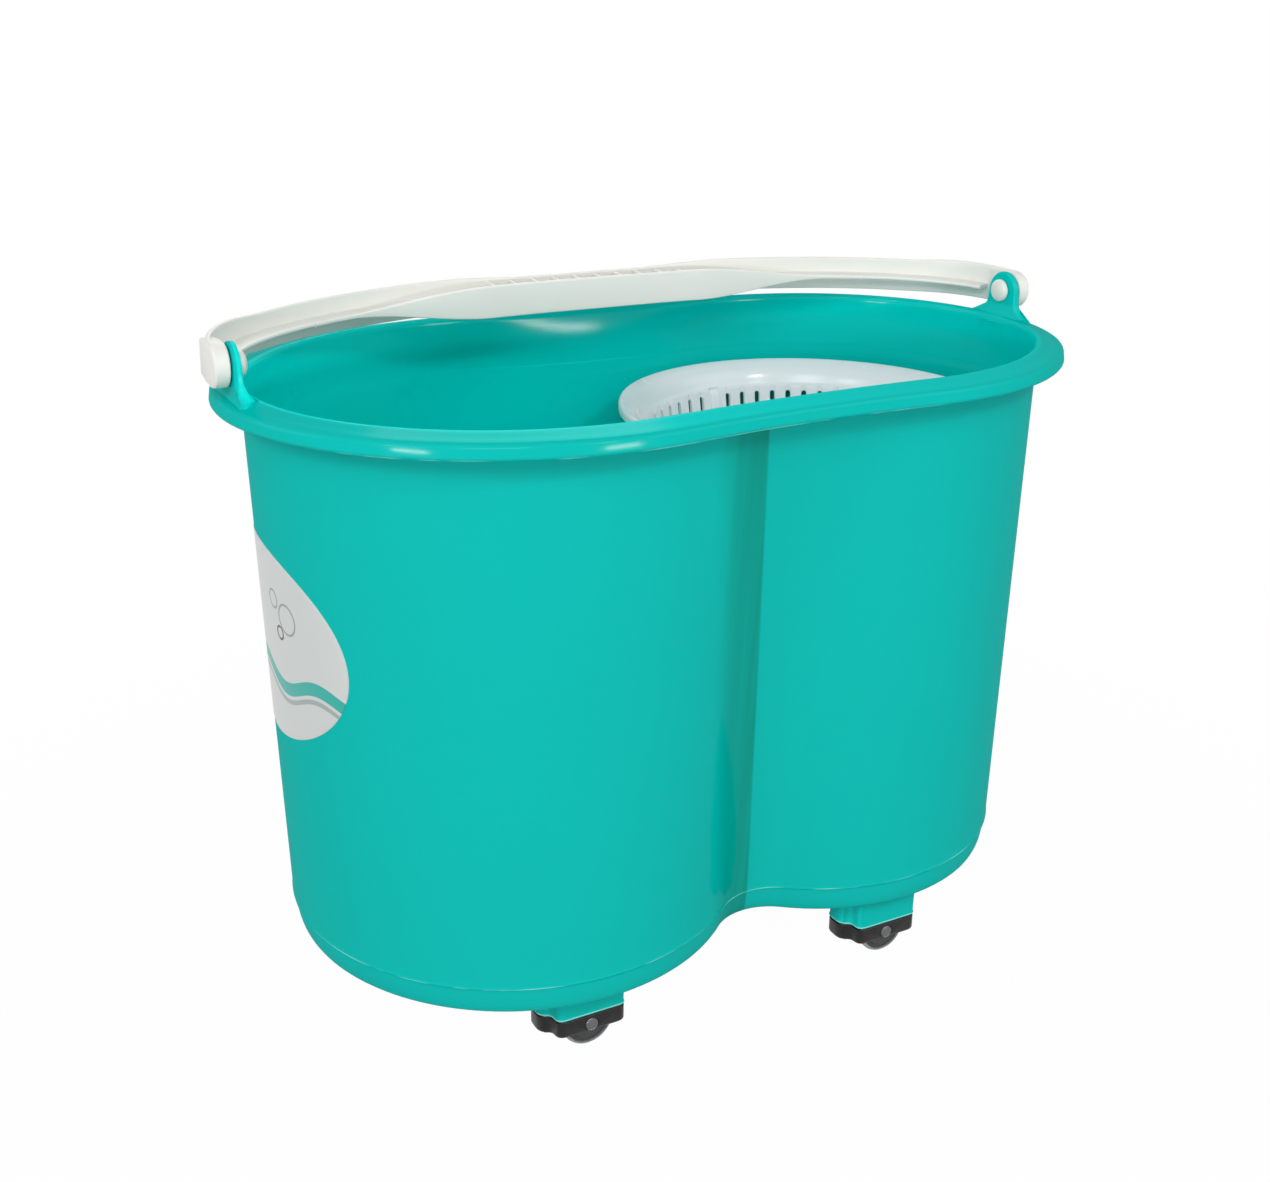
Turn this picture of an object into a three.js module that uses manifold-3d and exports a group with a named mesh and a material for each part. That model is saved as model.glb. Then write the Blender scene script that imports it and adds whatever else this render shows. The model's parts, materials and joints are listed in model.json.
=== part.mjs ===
// Spin mop bucket: a twin-lobe bucket on four castors, with a bail handle and a free-spinning
// wringer basket on a steel spindle. Millimetres, +Z up, standing on z = 0.
// X runs along the bucket, with the basket in the +X lobe. The folded handle lies towards +Y.
import * as THREE from 'three';
import { mergeVertices } from 'three/addons/utils/BufferGeometryUtils.js';
import Module from 'manifold-3d';

const wasm = await Module();
wasm.setup();

// ---------------------------------------------------------------- driving dimensions
const GAP = 0.3; // clearance between pieces that touch

// Bucket wall: two elliptical lobes, the left one wider, joined by an arc at each side of the waist.
const UNDERSIDE_Z = 39; // bucket underside above the floor
const BUCKET_HEIGHT = 293; // underside to rim top
const WALL = 2.5;
const FLOOR_THICKNESS = 2.8;
const TOP = { halfLength: 219.2, left: 120.2, right: 112.1, waist: 111.7, stretch: 1.14 };
const BASE = { halfLength: 206.6, left: 120.6, right: 112.8, waist: 83.9, stretch: 0.99 };
const SKIRT_HEIGHT = 13.8; // rounded base band below the moulded step
const SKIRT_INSET = 3;
const SKIRT_STEP = 0.8;
const INNER_LINE_DEPTH = 30.5; // fine step inside the wall, below the rim top
const INNER_LINE_STEP = 0.3;
const LOBE_STEPS = 24;
const WAIST_STEPS = 5;
const WALL_LEVELS = [0.4, 0.75];

// Rolled rim.
const RIM_REACH = 14.7; // outside the wall
const RIM_DEPTH = 9.9;
const RIM_SKIN = 2.6;

// Handle ears, one on each end of the rim.
const EAR_INNER_X = 222.6;
const EAR_THICKNESS = 4.4;
const EAR_RADIUS = 11.2;
const EAR_FOOT = { halfWidth: 24, low: -3, edge: -1.8 };
const PIVOT_HEIGHT = 13.7; // pin axis above the rim top
const PIN_RADIUS = 4.2;
const PIN_TAIL_RADIUS = 3.6;
const PIN_TAIL_LENGTH = 6;
const PIN_HEAD_RADIUS = 6.3;
const PIN_HEAD_HEIGHT = 4.2;
const PIN_HEAD_EDGE = 0.8;
const PIN_DOME_ANGLE = 1.25;

// Bail handle: an outer band, an inward web and a wide inner flange at the grip.
const HANDLE_DEPTH = 100; // pin axis to the outside of the grip
const HANDLE_HALF_SPAN = 235;
const GRIP_HALF_LENGTH = 31;
const BAND_THICKNESS = 2.6;
const BAND_HALF_HEIGHT = { boss: 10.3, arm: 8, grip: 5.6 };
const BOSS_THICKNESS = 7.6;
const WEB_THICKNESS = 2.2;
const WEB_OFFSET = -1.7;
const WEB_DEPTH = { arm: 10.8, grip: 21 };
const FLANGE_FULL_HALF_LENGTH = 63; // full height of the inner flange
const FLANGE_HALF_LENGTH = 150; // where it has run out into the web
const FLANGE_LOW = -9.2;
const FLANGE_HIGH = 7.2;
const GRIP_RIBS = 10;
const GRIP_RIB_PITCH = 13;
const HANDLE_REST_ANGLE = THREE.MathUtils.degToRad(3.5); // folded, above the horizontal

// Moulded post and spindle stack in the basket lobe.
const BASKET_X = 94;
const POST_HEIGHT = 134; // above the underside
const POST_TOP = UNDERSIDE_Z + POST_HEIGHT;
const POST_PLATE = 4;
const POST_SEGMENTS = 24;
const SPINDLE_RADIUS = 4;
const NUT_ACROSS_FLATS = 13;
const NUT_HEIGHT = 6;
const WASHER_THICKNESS = 1.5;
const BOLT_HEAD_HEIGHT = 5.5;
const BUSH_LENGTH = 23;
const BUSH_RADIUS = 6;
const HUB = { radius: 12.6, height: 35.5, cupRadius: 9.2, flangeRadius: 26, flangeThickness: 3.6 };
const HUB_TEETH = { count: 8, reach: 15, halfWidth: 2.4, bottom: 14 };
const CAP = { radius: 12.4, edge: 1.6, height: 3.6, plugRadius: 8.9, plugWall: 1, plugDepth: 3 };

// Spin basket.
const BASKET_RIM_Z = UNDERSIDE_Z + 254;
const BASKET_RADIUS = 107.5;
const BASKET_DEPTH = 96;
const BASKET_FLOOR_Z = BASKET_RIM_Z - BASKET_DEPTH;
const BASKET_BORE = 15.4;
const BASKET_SKIN = 2.3;
const BASKET_SEGMENTS = 60;
const PANELS = 6;
const SLOTS_PER_PANEL = 9;
const SLOT_PITCH = THREE.MathUtils.degToRad(6);
const PANEL_START = THREE.MathUtils.degToRad(5);
const SLOT_WIDTH = 3;
const SLOT_LOW = -84; // from the rim
const SLOT_HIGH = -17;
const PILASTER_HALF_WIDTH = 3;

// Castors.
const CASTOR_X = 91;
const CASTOR_FACE_Y = 101.8; // outer face of the castor pods
const POD = { nose: 13, noseHalfWidth: 19, halfWidth: 26.5, step: -4, back: 19, wall: 2.5 };
const WHEEL_RADIUS = 14;
const WHEEL_WIDTH = 11;
const WHEEL_EDGE = 2.3;
const HOUSING_TOP = 20;
const HOUSING_BOTTOM = 10;
const HOUSING_TABS = [{ half: 15, from: -9.8, to: -7 }, { half: 22, from: 7, to: 15.5 }];
const TAB_HEIGHT = 3;
const AXLE_RADIUS = 2.5;
const AXLE_HEAD_RADIUS = 3.5;
const AXLE_HEAD_Y = 11.5; // from the wheel's middle to the underside of the head
const AXLE_TAIL_Y = 15;

const COLOURS = {
  teal: { color: 0x00b8b0, roughness: 0.35, metalness: 0 },
  white: { color: 0xe4e4e0, roughness: 0.4, metalness: 0 },
  coolWhite: { color: 0xdcdce6, roughness: 0.3, metalness: 0 },
  black: { color: 0x1b1c1d, roughness: 0.45, metalness: 0 },
  grey: { color: 0x55575a, roughness: 0.6, metalness: 0 },
  steel: { color: 0xb9bcc0, roughness: 0.3, metalness: 1 },
};

// ---------------------------------------------------------------- solids
function toSolid(geometry) {
  const bare = geometry.clone();
  bare.deleteAttribute('normal');
  bare.deleteAttribute('uv');
  const merged = mergeVertices(bare, 1e-4);
  return new wasm.Manifold(new wasm.Mesh({
    numProp: 3,
    vertProperties: merged.attributes.position.array,
    triVerts: new Uint32Array(merged.index.array),
  }));
}

function toGeometry(solid) {
  const mesh = solid.getMesh();
  const geometry = new THREE.BufferGeometry();
  geometry.setAttribute('position', new THREE.BufferAttribute(mesh.vertProperties, 3));
  geometry.setIndex(new THREE.BufferAttribute(mesh.triVerts, 1));
  geometry.computeVertexNormals();
  return geometry;
}

function union(geometries) {
  return geometries.map(toSolid).reduce((sum, next) => sum.add(next));
}

function cut(solid, geometries) {
  return geometries.map(toSolid).reduce((rest, tool) => rest.subtract(tool), solid);
}

// Joins rings of equal point count into one closed skin, with a fan on the first and last ring.
function loft(rings) {
  const count = rings[0].length;
  const positions = rings.flat().flatMap((p) => [p.x, p.y, p.z]);
  const index = [];
  for (let ring = 0; ring + 1 < rings.length; ring += 1) {
    for (let i = 0; i < count; i += 1) {
      const a = ring * count + i;
      const b = ring * count + ((i + 1) % count);
      index.push(a, b, a + count, b, b + count, a + count);
    }
  }
  for (const [ring, flip] of [[rings[0], true], [rings.at(-1), false]]) {
    const centre = ring.reduce((sum, p) => sum.add(p), new THREE.Vector3()).divideScalar(count);
    const middle = positions.length / 3;
    positions.push(centre.x, centre.y, centre.z);
    const base = flip ? 0 : (rings.length - 1) * count;
    for (let i = 0; i < count; i += 1) {
      const next = (i + 1) % count;
      index.push(...(flip ? [base + next, base + i, middle] : [base + i, base + next, middle]));
    }
  }
  const geometry = new THREE.BufferGeometry();
  geometry.setAttribute('position', new THREE.Float32BufferAttribute(positions, 3));
  geometry.setIndex(index);
  return geometry;
}

// Turns a closed [radius, z] profile about the Z axis.
function revolve(profile, segments) {
  const points = profile.map(([r, z]) => new THREE.Vector2(r, z));
  return new THREE.LatheGeometry(points, segments).rotateX(Math.PI / 2);
}

function ringProfile(inner, outer, low, high) {
  return [[inner, low], [outer, low], [outer, high], [inner, high], [inner, low]];
}

function tube(inner, outer, low, high, segments = 20) {
  return revolve(ringProfile(inner, outer, low, high), segments);
}

function rod(radius, low, high, segments = 20) {
  return new THREE.CylinderGeometry(radius, radius, high - low, segments)
    .rotateX(Math.PI / 2)
    .translate(0, 0, (low + high) / 2);
}

function extrude(shape, low, high, curveSegments = 2) {
  return new THREE.ExtrudeGeometry(shape, { depth: high - low, bevelEnabled: false, curveSegments })
    .translate(0, 0, low);
}

function box(x0, x1, y0, y1, z0, z1) {
  return new THREE.BoxGeometry(x1 - x0, y1 - y0, z1 - z0)
    .translate((x0 + x1) / 2, (y0 + y1) / 2, (z0 + z1) / 2);
}

// A closed outline through corner points, each corner rounded to its radius.
function roundedShape(corners) {
  const shape = new THREE.Shape();
  corners.forEach(([x, y, radius], i) => {
    const here = new THREE.Vector2(x, y);
    const before = new THREE.Vector2(...corners.at(i - 1).slice(0, 2));
    const after = new THREE.Vector2(...corners[(i + 1) % corners.length].slice(0, 2));
    const start = before.sub(here).setLength(radius).add(here);
    const end = after.sub(here).setLength(radius).add(here);
    if (i === 0) shape.moveTo(start.x, start.y);
    else shape.lineTo(start.x, start.y);
    shape.quadraticCurveTo(x, y, end.x, end.y);
  });
  shape.closePath();
  return shape;
}

function node(name, geometry, colour, placement = {}) {
  const mesh = new THREE.Mesh(geometry, new THREE.MeshStandardMaterial(COLOURS[colour]));
  mesh.name = name;
  mesh.position.set(placement.x ?? 0, placement.y ?? 0, placement.z ?? 0);
  return mesh;
}

// ---------------------------------------------------------------- bucket
function blend(from, to, t) {
  return THREE.MathUtils.lerp(from, to, t);
}

// Where the waist arc of an unstretched outline is centred, and its radius, for lobes of half
// widths left and right centred leftX and rightX either side of the middle.
function waistArc(left, right, leftX, rightX, waist) {
  const leftShare = 1 / (2 * (left - waist));
  const rightShare = 1 / (2 * (right - waist));
  const a = leftShare - rightShare;
  const b = 2 * (leftShare * leftX + rightShare * rightX);
  const leftTerm = leftX ** 2 - left ** 2 + waist ** 2;
  const rightTerm = rightX ** 2 - right ** 2 + waist ** 2;
  const c = leftShare * leftTerm - rightShare * rightTerm;
  const x = (-2 * c) / (b + Math.sqrt(b * b - 4 * a * c));
  const radius = leftShare * ((x + leftX) ** 2 - left ** 2 + waist ** 2);
  return { x, y: waist + radius, radius };
}

function arcPoints(x, y, radius, from, to, steps) {
  const points = [];
  for (let i = 0; i < steps; i += 1) {
    const angle = blend(from, to, i / steps);
    points.push([x + radius * Math.cos(angle), y + radius * Math.sin(angle)]);
  }
  return points;
}

// The wall's outer outline at a height above the underside, moved outwards by offset.
function bucketOutline(z, offset) {
  const size = {};
  for (const key of Object.keys(TOP)) size[key] = blend(BASE[key], TOP[key], z / BUCKET_HEIGHT);
  const leftX = size.halfLength / size.stretch - size.left;
  const rightX = size.halfLength / size.stretch - size.right;
  const arc = waistArc(size.left, size.right, leftX, rightX, size.waist);
  const rightEnd = Math.atan2(arc.y, arc.x - rightX);
  const leftEnd = Math.atan2(arc.y, arc.x + leftX);
  const fromRight = Math.atan2(-arc.y, rightX - arc.x);
  const toLeft = Math.atan2(-arc.y, -leftX - arc.x);
  const outline = [
    ...arcPoints(rightX, 0, size.right, -rightEnd, rightEnd, LOBE_STEPS),
    ...arcPoints(arc.x, arc.y, arc.radius, fromRight, toLeft, WAIST_STEPS),
    ...arcPoints(-leftX, 0, size.left, leftEnd, 2 * Math.PI - leftEnd, LOBE_STEPS),
    ...arcPoints(arc.x, -arc.y, arc.radius, -toLeft, -fromRight, WAIST_STEPS),
  ].map(([x, y]) => [size.stretch * x, y]);
  return outline.map(([x, y], i) => {
    const [x0, y0] = outline.at(i - 1);
    const [x1, y1] = outline[(i + 1) % outline.length];
    const length = Math.hypot(x1 - x0, y1 - y0);
    return new THREE.Vector3(
      x + (offset * (y1 - y0)) / length,
      y - (offset * (x1 - x0)) / length,
      z,
    );
  });
}

// Quarter-ellipse steps from the flat base up to the wall.
function skirt(floorZ, topZ, outerOffset) {
  return [0, 0.4, 1].map((t) => {
    const angle = (t * Math.PI) / 2;
    const z = blend(topZ, floorZ, Math.cos(angle));
    return [z, outerOffset - SKIRT_INSET * (1 - Math.sin(angle))];
  });
}

function bucketShell() {
  const top = BUCKET_HEIGHT;
  const outside = skirt(0, SKIRT_HEIGHT, -SKIRT_STEP);
  outside.push([SKIRT_HEIGHT + 1, 0]);
  for (const share of WALL_LEVELS) outside.push([share * top, 0]);
  const rim = [
    [top - RIM_DEPTH, 0],
    [top - RIM_SKIN - 0.8, 0.6],
    [top - RIM_SKIN - 3.4, RIM_REACH - RIM_SKIN - 1],
    [top - RIM_DEPTH, RIM_REACH - RIM_SKIN + 0.3],
    [top - RIM_DEPTH, RIM_REACH - 0.5],
    [top - 6.8, RIM_REACH],
    [top - 3.8, RIM_REACH - 1.4],
    [top - 1.8, RIM_REACH - 4.6],
    [top, 0.6],
    [top - 1.4, -WALL],
  ];
  const line = top - INNER_LINE_DEPTH;
  const lower = -WALL - INNER_LINE_STEP;
  const inside = [[line, -WALL], [line - INNER_LINE_STEP, lower]];
  inside.push(...[...WALL_LEVELS].reverse().map((share) => [share * top, lower]));
  inside.push(...skirt(FLOOR_THICKNESS, SKIRT_HEIGHT, lower - SKIRT_STEP).reverse());
  const levels = [...outside, ...rim, ...inside];
  return loft(levels.map(([z, offset]) => bucketOutline(z, offset)));
}

// The hollow cone that lifts the basket clear of the water, open underneath.
function post() {
  return revolve([
    [0, 1], [45, 1], [38, FLOOR_THICKNESS + 4], [20, POST_HEIGHT - 5],
    [17, POST_HEIGHT], [0, POST_HEIGHT],
  ], POST_SEGMENTS).translate(BASKET_X, 0, 0);
}

function postHollow() {
  return revolve([
    [0, -1], [42, -1], [35.5, FLOOR_THICKNESS + 3], [18, POST_HEIGHT - POST_PLATE - 4],
    [15, POST_HEIGHT - POST_PLATE], [0, POST_HEIGHT - POST_PLATE],
  ], POST_SEGMENTS).translate(BASKET_X, 0, 0);
}

// One rim ear in the YZ plane: a round head on a foot that flares into the rim.
function ear() {
  const head = PIVOT_HEIGHT - 0.6;
  const { halfWidth, low, edge } = EAR_FOOT;
  const neck = EAR_RADIUS + 0.6;
  const shape = new THREE.Shape();
  shape.moveTo(-halfWidth, low);
  shape.lineTo(-halfWidth, edge);
  shape.quadraticCurveTo(-neck - 2, edge + 0.9, -neck, head / 2);
  shape.lineTo(-EAR_RADIUS, head);
  shape.absarc(0, head, EAR_RADIUS, Math.PI, 0, true);
  shape.lineTo(neck, head / 2);
  shape.quadraticCurveTo(neck + 2, edge + 0.9, halfWidth, edge);
  shape.lineTo(halfWidth, low);
  shape.closePath();
  const hole = new THREE.Path();
  hole.absarc(0, PIVOT_HEIGHT, PIN_RADIUS + GAP, 0, 2 * Math.PI, false);
  shape.holes.push(hole);
  return extrude(shape, 0, EAR_THICKNESS, 8)
    .rotateX(Math.PI / 2)
    .rotateZ(Math.PI / 2)
    .translate(EAR_INNER_X, 0, BUCKET_HEIGHT);
}

// The solid part of the rim under an ear.
function earRoot() {
  const low = BUCKET_HEIGHT - RIM_DEPTH + 1;
  const outer = EAR_INNER_X + EAR_THICKNESS + 2;
  return box(EAR_INNER_X - 2, outer, -EAR_RADIUS, EAR_RADIUS, low, BUCKET_HEIGHT + EAR_FOOT.low);
}

// Plan of a castor pod: a front nose towards -Y and a wider body behind it, wheel centre at 0, 0.
function podPlan(inset) {
  const nose = POD.noseHalfWidth - inset;
  const body = POD.halfWidth - inset;
  const front = -POD.nose + inset;
  const step = POD.step + inset * 0.4;
  const back = POD.back - inset;
  return roundedShape([
    [-nose, front, 3.5], [nose, front, 3.5], [nose, step - 1, 2.5], [body, step + 1.5, 3.5],
    [body, back, 3], [-body, back, 3], [-body, step + 1.5, 3.5], [-nose, step - 1, 2.5],
  ]);
}

function castorPlaces() {
  const y = CASTOR_FACE_Y - POD.nose;
  return [
    { name: 'front_left', x: -CASTOR_X, y: -y, turn: 0 },
    { name: 'front_right', x: CASTOR_X, y: -y, turn: 0 },
    { name: 'rear_left', x: -CASTOR_X, y, turn: Math.PI },
    { name: 'rear_right', x: CASTOR_X, y, turn: Math.PI },
  ];
}

function bucket() {
  const podDrop = UNDERSIDE_Z - HOUSING_TOP;
  const bore = rod(SPINDLE_RADIUS + GAP, 0, POST_HEIGHT + 1).translate(BASKET_X, 0, 0);
  const added = [post()];
  const removed = [postHollow(), bore];
  for (const turn of [0, Math.PI]) {
    added.push(ear().rotateZ(turn));
    added.push(earRoot().rotateZ(turn));
  }
  for (const { x, y, turn } of castorPlaces()) {
    added.push(extrude(podPlan(0), -podDrop, 1.2).rotateZ(turn).translate(x, y, 0));
    removed.push(extrude(podPlan(POD.wall), -podDrop - 1, -1.6).rotateZ(turn).translate(x, y, 0));
  }
  const solid = cut(union([bucketShell(), ...added]), removed);
  return node('bucket_shell', toGeometry(solid), 'teal', { z: UNDERSIDE_Z });
}

// ---------------------------------------------------------------- handle
// The handle lies in its own plane: x across, y away from the pin axis, z across the band.
function archPoint(angle, inset) {
  const a = HANDLE_HALF_SPAN - GRIP_HALF_LENGTH - inset;
  const b = HANDLE_DEPTH - inset;
  return [GRIP_HALF_LENGTH + a * Math.cos(angle), b * Math.sin(angle)];
}

// Half of an arch line from the boss to the middle of the grip, then its mirror image.
function archLine(inset, start = 0, steps = 18) {
  const half = [];
  for (let i = 0; i <= steps; i += 1) half.push(archPoint(blend(start, Math.PI / 2, i / steps), inset));
  const mirrored = half.map(([x, y]) => [-x, y]).reverse();
  return half.concat(mirrored);
}

function smooth(value, low, high) {
  return THREE.MathUtils.smoothstep(value, low, high);
}

function bandHalfHeight(x) {
  const toArm = smooth(Math.abs(x), GRIP_HALF_LENGTH, GRIP_HALF_LENGTH + 60);
  const toBoss = smooth(Math.abs(x), HANDLE_HALF_SPAN - 41, HANDLE_HALF_SPAN - 10);
  const arm = blend(BAND_HALF_HEIGHT.grip, BAND_HALF_HEIGHT.arm, toArm);
  return blend(arm, BAND_HALF_HEIGHT.boss, toBoss);
}

// Lofts a strip between two arch lines, with the given low and high edges at each station.
function strip(outer, inner, edges) {
  const rings = outer.map(([x, y], i) => {
    const [u, v] = inner[i];
    const [low, high] = edges(x, i / (outer.length - 1));
    return [
      new THREE.Vector3(x, y, low), new THREE.Vector3(u, v, low),
      new THREE.Vector3(u, v, high), new THREE.Vector3(x, y, high),
    ];
  });
  return loft(rings);
}

// How much of the grip's full section is reached at x: 1 over the grip, 0 on the arms.
function gripShare(x) {
  return 1 - smooth(Math.abs(x), FLANGE_FULL_HALF_LENGTH, FLANGE_HALF_LENGTH);
}

function webInset(x) {
  return blend(WEB_DEPTH.arm, WEB_DEPTH.grip, gripShare(x));
}

function innerEdge(line, extra = 0) {
  return line.map(([x, y], i) => {
    const [x0, y0] = line[Math.max(i - 1, 0)];
    const [x1, y1] = line[Math.min(i + 1, line.length - 1)];
    const length = Math.hypot(x1 - x0, y1 - y0);
    const inset = webInset(x) + extra;
    return [x - (inset * (y1 - y0)) / length, y + (inset * (x1 - x0)) / length];
  });
}

// The thick round end of one arm, with a neck that runs into the band.
function handleBoss(side) {
  const outer = HANDLE_HALF_SPAN;
  const inner = outer - BOSS_THICKNESS;
  const radius = BAND_HALF_HEIGHT.boss;
  const disc = rod(radius, inner, outer, 28).rotateY(Math.PI / 2);
  const neck = box(inner, outer - 0.5, 0, 16, 0.4 - radius, radius - 0.4);
  if (side < 0) {
    disc.rotateZ(Math.PI);
    neck.rotateZ(Math.PI).rotateX(Math.PI);
  }
  return [disc, neck];
}

function handleBail() {
  const bandEdges = (x) => [-bandHalfHeight(x), bandHalfHeight(x)];
  const band = strip(archLine(0), archLine(BAND_THICKNESS), bandEdges);
  const webLow = WEB_OFFSET - WEB_THICKNESS / 2;
  const webHigh = WEB_OFFSET + WEB_THICKNESS / 2;
  const webLine = archLine(BAND_THICKNESS - 0.6, 0.2);
  const web = strip(webLine, innerEdge(webLine), () => [webLow, webHigh]);
  const flangeLine = archLine(BAND_THICKNESS - 0.6, 0.8, 12);
  const flange = strip(innerEdge(flangeLine, -2), innerEdge(flangeLine, 0.6), (x) => [
    blend(webLow - 0.1, FLANGE_LOW, gripShare(x)),
    blend(webHigh + 0.1, FLANGE_HIGH, gripShare(x)),
  ]);
  const pieces = [band, web, flange, ...handleBoss(1), ...handleBoss(-1)];
  const ribOuter = HANDLE_DEPTH - BAND_THICKNESS + 0.5;
  const ribInner = HANDLE_DEPTH - WEB_DEPTH.grip - 1.5;
  const ribHalfHeight = BAND_HALF_HEIGHT.grip - 1;
  for (let i = 0; i < GRIP_RIBS; i += 1) {
    const x = (i - (GRIP_RIBS - 1) / 2) * GRIP_RIB_PITCH;
    pieces.push(box(x - 0.9, x + 0.9, ribInner, ribOuter, -ribHalfHeight, ribHalfHeight));
  }
  const boreInner = HANDLE_HALF_SPAN - BOSS_THICKNESS - 2;
  const bore = rod(PIN_TAIL_RADIUS + GAP, boreInner, boreInner + PIN_TAIL_LENGTH + 2.6, 24)
    .rotateY(Math.PI / 2);
  const bores = [bore, bore.clone().rotateZ(Math.PI)];
  return node('handle_bail', toGeometry(cut(union(pieces), bores)), 'white');
}

// A domed pin through the ear, with a thinner tail pressed into the handle boss.
function handlePin(name, side) {
  const shoulder = EAR_INNER_X + EAR_THICKNESS + GAP / 2;
  const head = EAR_INNER_X - GAP;
  const rise = PIN_HEAD_HEIGHT - PIN_HEAD_EDGE;
  const dome = [];
  for (let i = 0; i <= 3; i += 1) {
    const angle = (i / 3) * PIN_DOME_ANGLE;
    const share = (Math.cos(angle) - Math.cos(PIN_DOME_ANGLE)) / (1 - Math.cos(PIN_DOME_ANGLE));
    const radius = (PIN_HEAD_RADIUS * Math.sin(angle)) / Math.sin(PIN_DOME_ANGLE);
    dome.push([radius, head - PIN_HEAD_EDGE - rise * share]);
  }
  const tail = shoulder + PIN_TAIL_LENGTH;
  const profile = [
    ...dome, [PIN_HEAD_RADIUS, head], [PIN_RADIUS, head], [PIN_RADIUS, shoulder],
    [PIN_TAIL_RADIUS, shoulder], [PIN_TAIL_RADIUS, tail], [0, tail],
  ];
  const pin = revolve(profile, 18).rotateY(Math.PI / 2);
  if (side < 0) pin.rotateZ(Math.PI);
  return node(name, pin, 'white', { z: UNDERSIDE_Z + BUCKET_HEIGHT + PIVOT_HEIGHT });
}

function handle() {
  const group = new THREE.Group();
  group.position.z = UNDERSIDE_Z + BUCKET_HEIGHT + PIVOT_HEIGHT;
  group.rotation.x = HANDLE_REST_ANGLE;
  group.add(handleBail());
  return group;
}

// ---------------------------------------------------------------- spindle stack
function hexPrism(acrossFlats, low, high) {
  return rod(acrossFlats / Math.sqrt(3), low, high, 6);
}

function hexNut(low) {
  const bore = rod(SPINDLE_RADIUS + GAP, low - 1, low + NUT_HEIGHT + 1);
  return toGeometry(cut(toSolid(hexPrism(NUT_ACROSS_FLATS, low, low + NUT_HEIGHT)), [bore]));
}

function washer(outer, low) {
  return tube(SPINDLE_RADIUS + GAP, outer, low, low + WASHER_THICKNESS);
}

// The hub that drives the mop plate: a toothed barrel with a flange under the basket floor.
function driveHub(low, bushTop) {
  const flangeTop = BASKET_FLOOR_Z - BASKET_SKIN - GAP;
  const top = low + HUB.height;
  const teeth = [];
  for (let i = 0; i < HUB_TEETH.count; i += 1) {
    const half = HUB_TEETH.halfWidth;
    const tooth = box(HUB.radius - 1.6, HUB_TEETH.reach, -half, half, low + HUB_TEETH.bottom, top);
    teeth.push(tooth.rotateZ((i * 2 * Math.PI) / HUB_TEETH.count));
  }
  const flange = tube(HUB.radius - 1.6, HUB.flangeRadius, flangeTop - HUB.flangeThickness, flangeTop, 28);
  const body = union([rod(HUB.radius, low, top, 24), flange, ...teeth]);
  return cut(body, [
    rod(BUSH_RADIUS + GAP, low - 1, bushTop + 1),
    rod(HUB.cupRadius, bushTop, top + 1),
  ]);
}

function hubCap(low) {
  const { radius, edge, height, plugRadius, plugWall, plugDepth } = CAP;
  const dome = [
    [0, low], [radius, low], [radius, low + edge], [radius - 1.9, low + height - 0.4],
    [0, low + height],
  ];
  const plug = tube(plugRadius - plugWall, plugRadius, low - plugDepth, low + 0.7, 24);
  return union([revolve(dome, 24), plug]);
}

function spindleStack() {
  const plateUnderside = POST_TOP - POST_PLATE;
  const seal = plateUnderside - GAP - WASHER_THICKNESS;
  const headTop = seal - GAP;
  const nut = POST_TOP + GAP;
  const thrust = nut + NUT_HEIGHT + GAP;
  const hub = thrust + WASHER_THICKNESS + GAP;
  const bushTop = hub + BUSH_LENGTH;
  const topWasher = bushTop + GAP;
  const topNut = topWasher + WASHER_THICKNESS + GAP;
  const spindleTop = topNut + NUT_HEIGHT + 1.5;
  const bolt = union([
    hexPrism(NUT_ACROSS_FLATS, headTop - BOLT_HEAD_HEIGHT, headTop),
    rod(SPINDLE_RADIUS, headTop - 1, spindleTop),
  ]);
  const bush = tube(SPINDLE_RADIUS + 0.08, BUSH_RADIUS, hub, bushTop);
  const at = { x: BASKET_X };
  return [
    node('spindle_bolt', toGeometry(bolt), 'steel', at),
    node('spindle_seal', washer(10, seal), 'black', at),
    node('spindle_nut', hexNut(nut), 'steel', at),
    node('thrust_washer', washer(9.5, thrust), 'steel', at),
    node('hub_bush', bush, 'white', at),
    node('drive_hub', toGeometry(driveHub(hub, bushTop)), 'white', at),
    node('top_washer', washer(8.2, topWasher), 'steel', at),
    node('retaining_nut', hexNut(topNut), 'steel', at),
    node('hub_cap', toGeometry(hubCap(hub + HUB.height + GAP)), 'white', at),
  ];
}

// ---------------------------------------------------------------- basket
// The basket's section from its rolled edge down the inside and back up the outside.
function basketProfile() {
  const rim = BASKET_RADIUS;
  const top = BASKET_RIM_Z;
  const floor = BASKET_FLOOR_Z;
  return [
    [rim, top - 5], [rim, top - 1], [rim - 1.4, top], [rim - 5, top - 1.8],
    [rim - 10.5, top - 8.5], [rim - 13, top - 13.5], [rim - 14.5, top - 14],
    [rim - 22.5, floor + 9], [rim - 30.5, floor],
    [BASKET_BORE, floor], [BASKET_BORE, floor - BASKET_SKIN],
    [rim - 29.5, floor - BASKET_SKIN], [rim - 20.1, floor + 8], [rim - 12.1, top - 15.4],
    [rim - 7.3, top - 8.5], [rim - 2, top - 3.6], [rim - 2, top - 5], [rim, top - 5],
  ];
}

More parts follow.
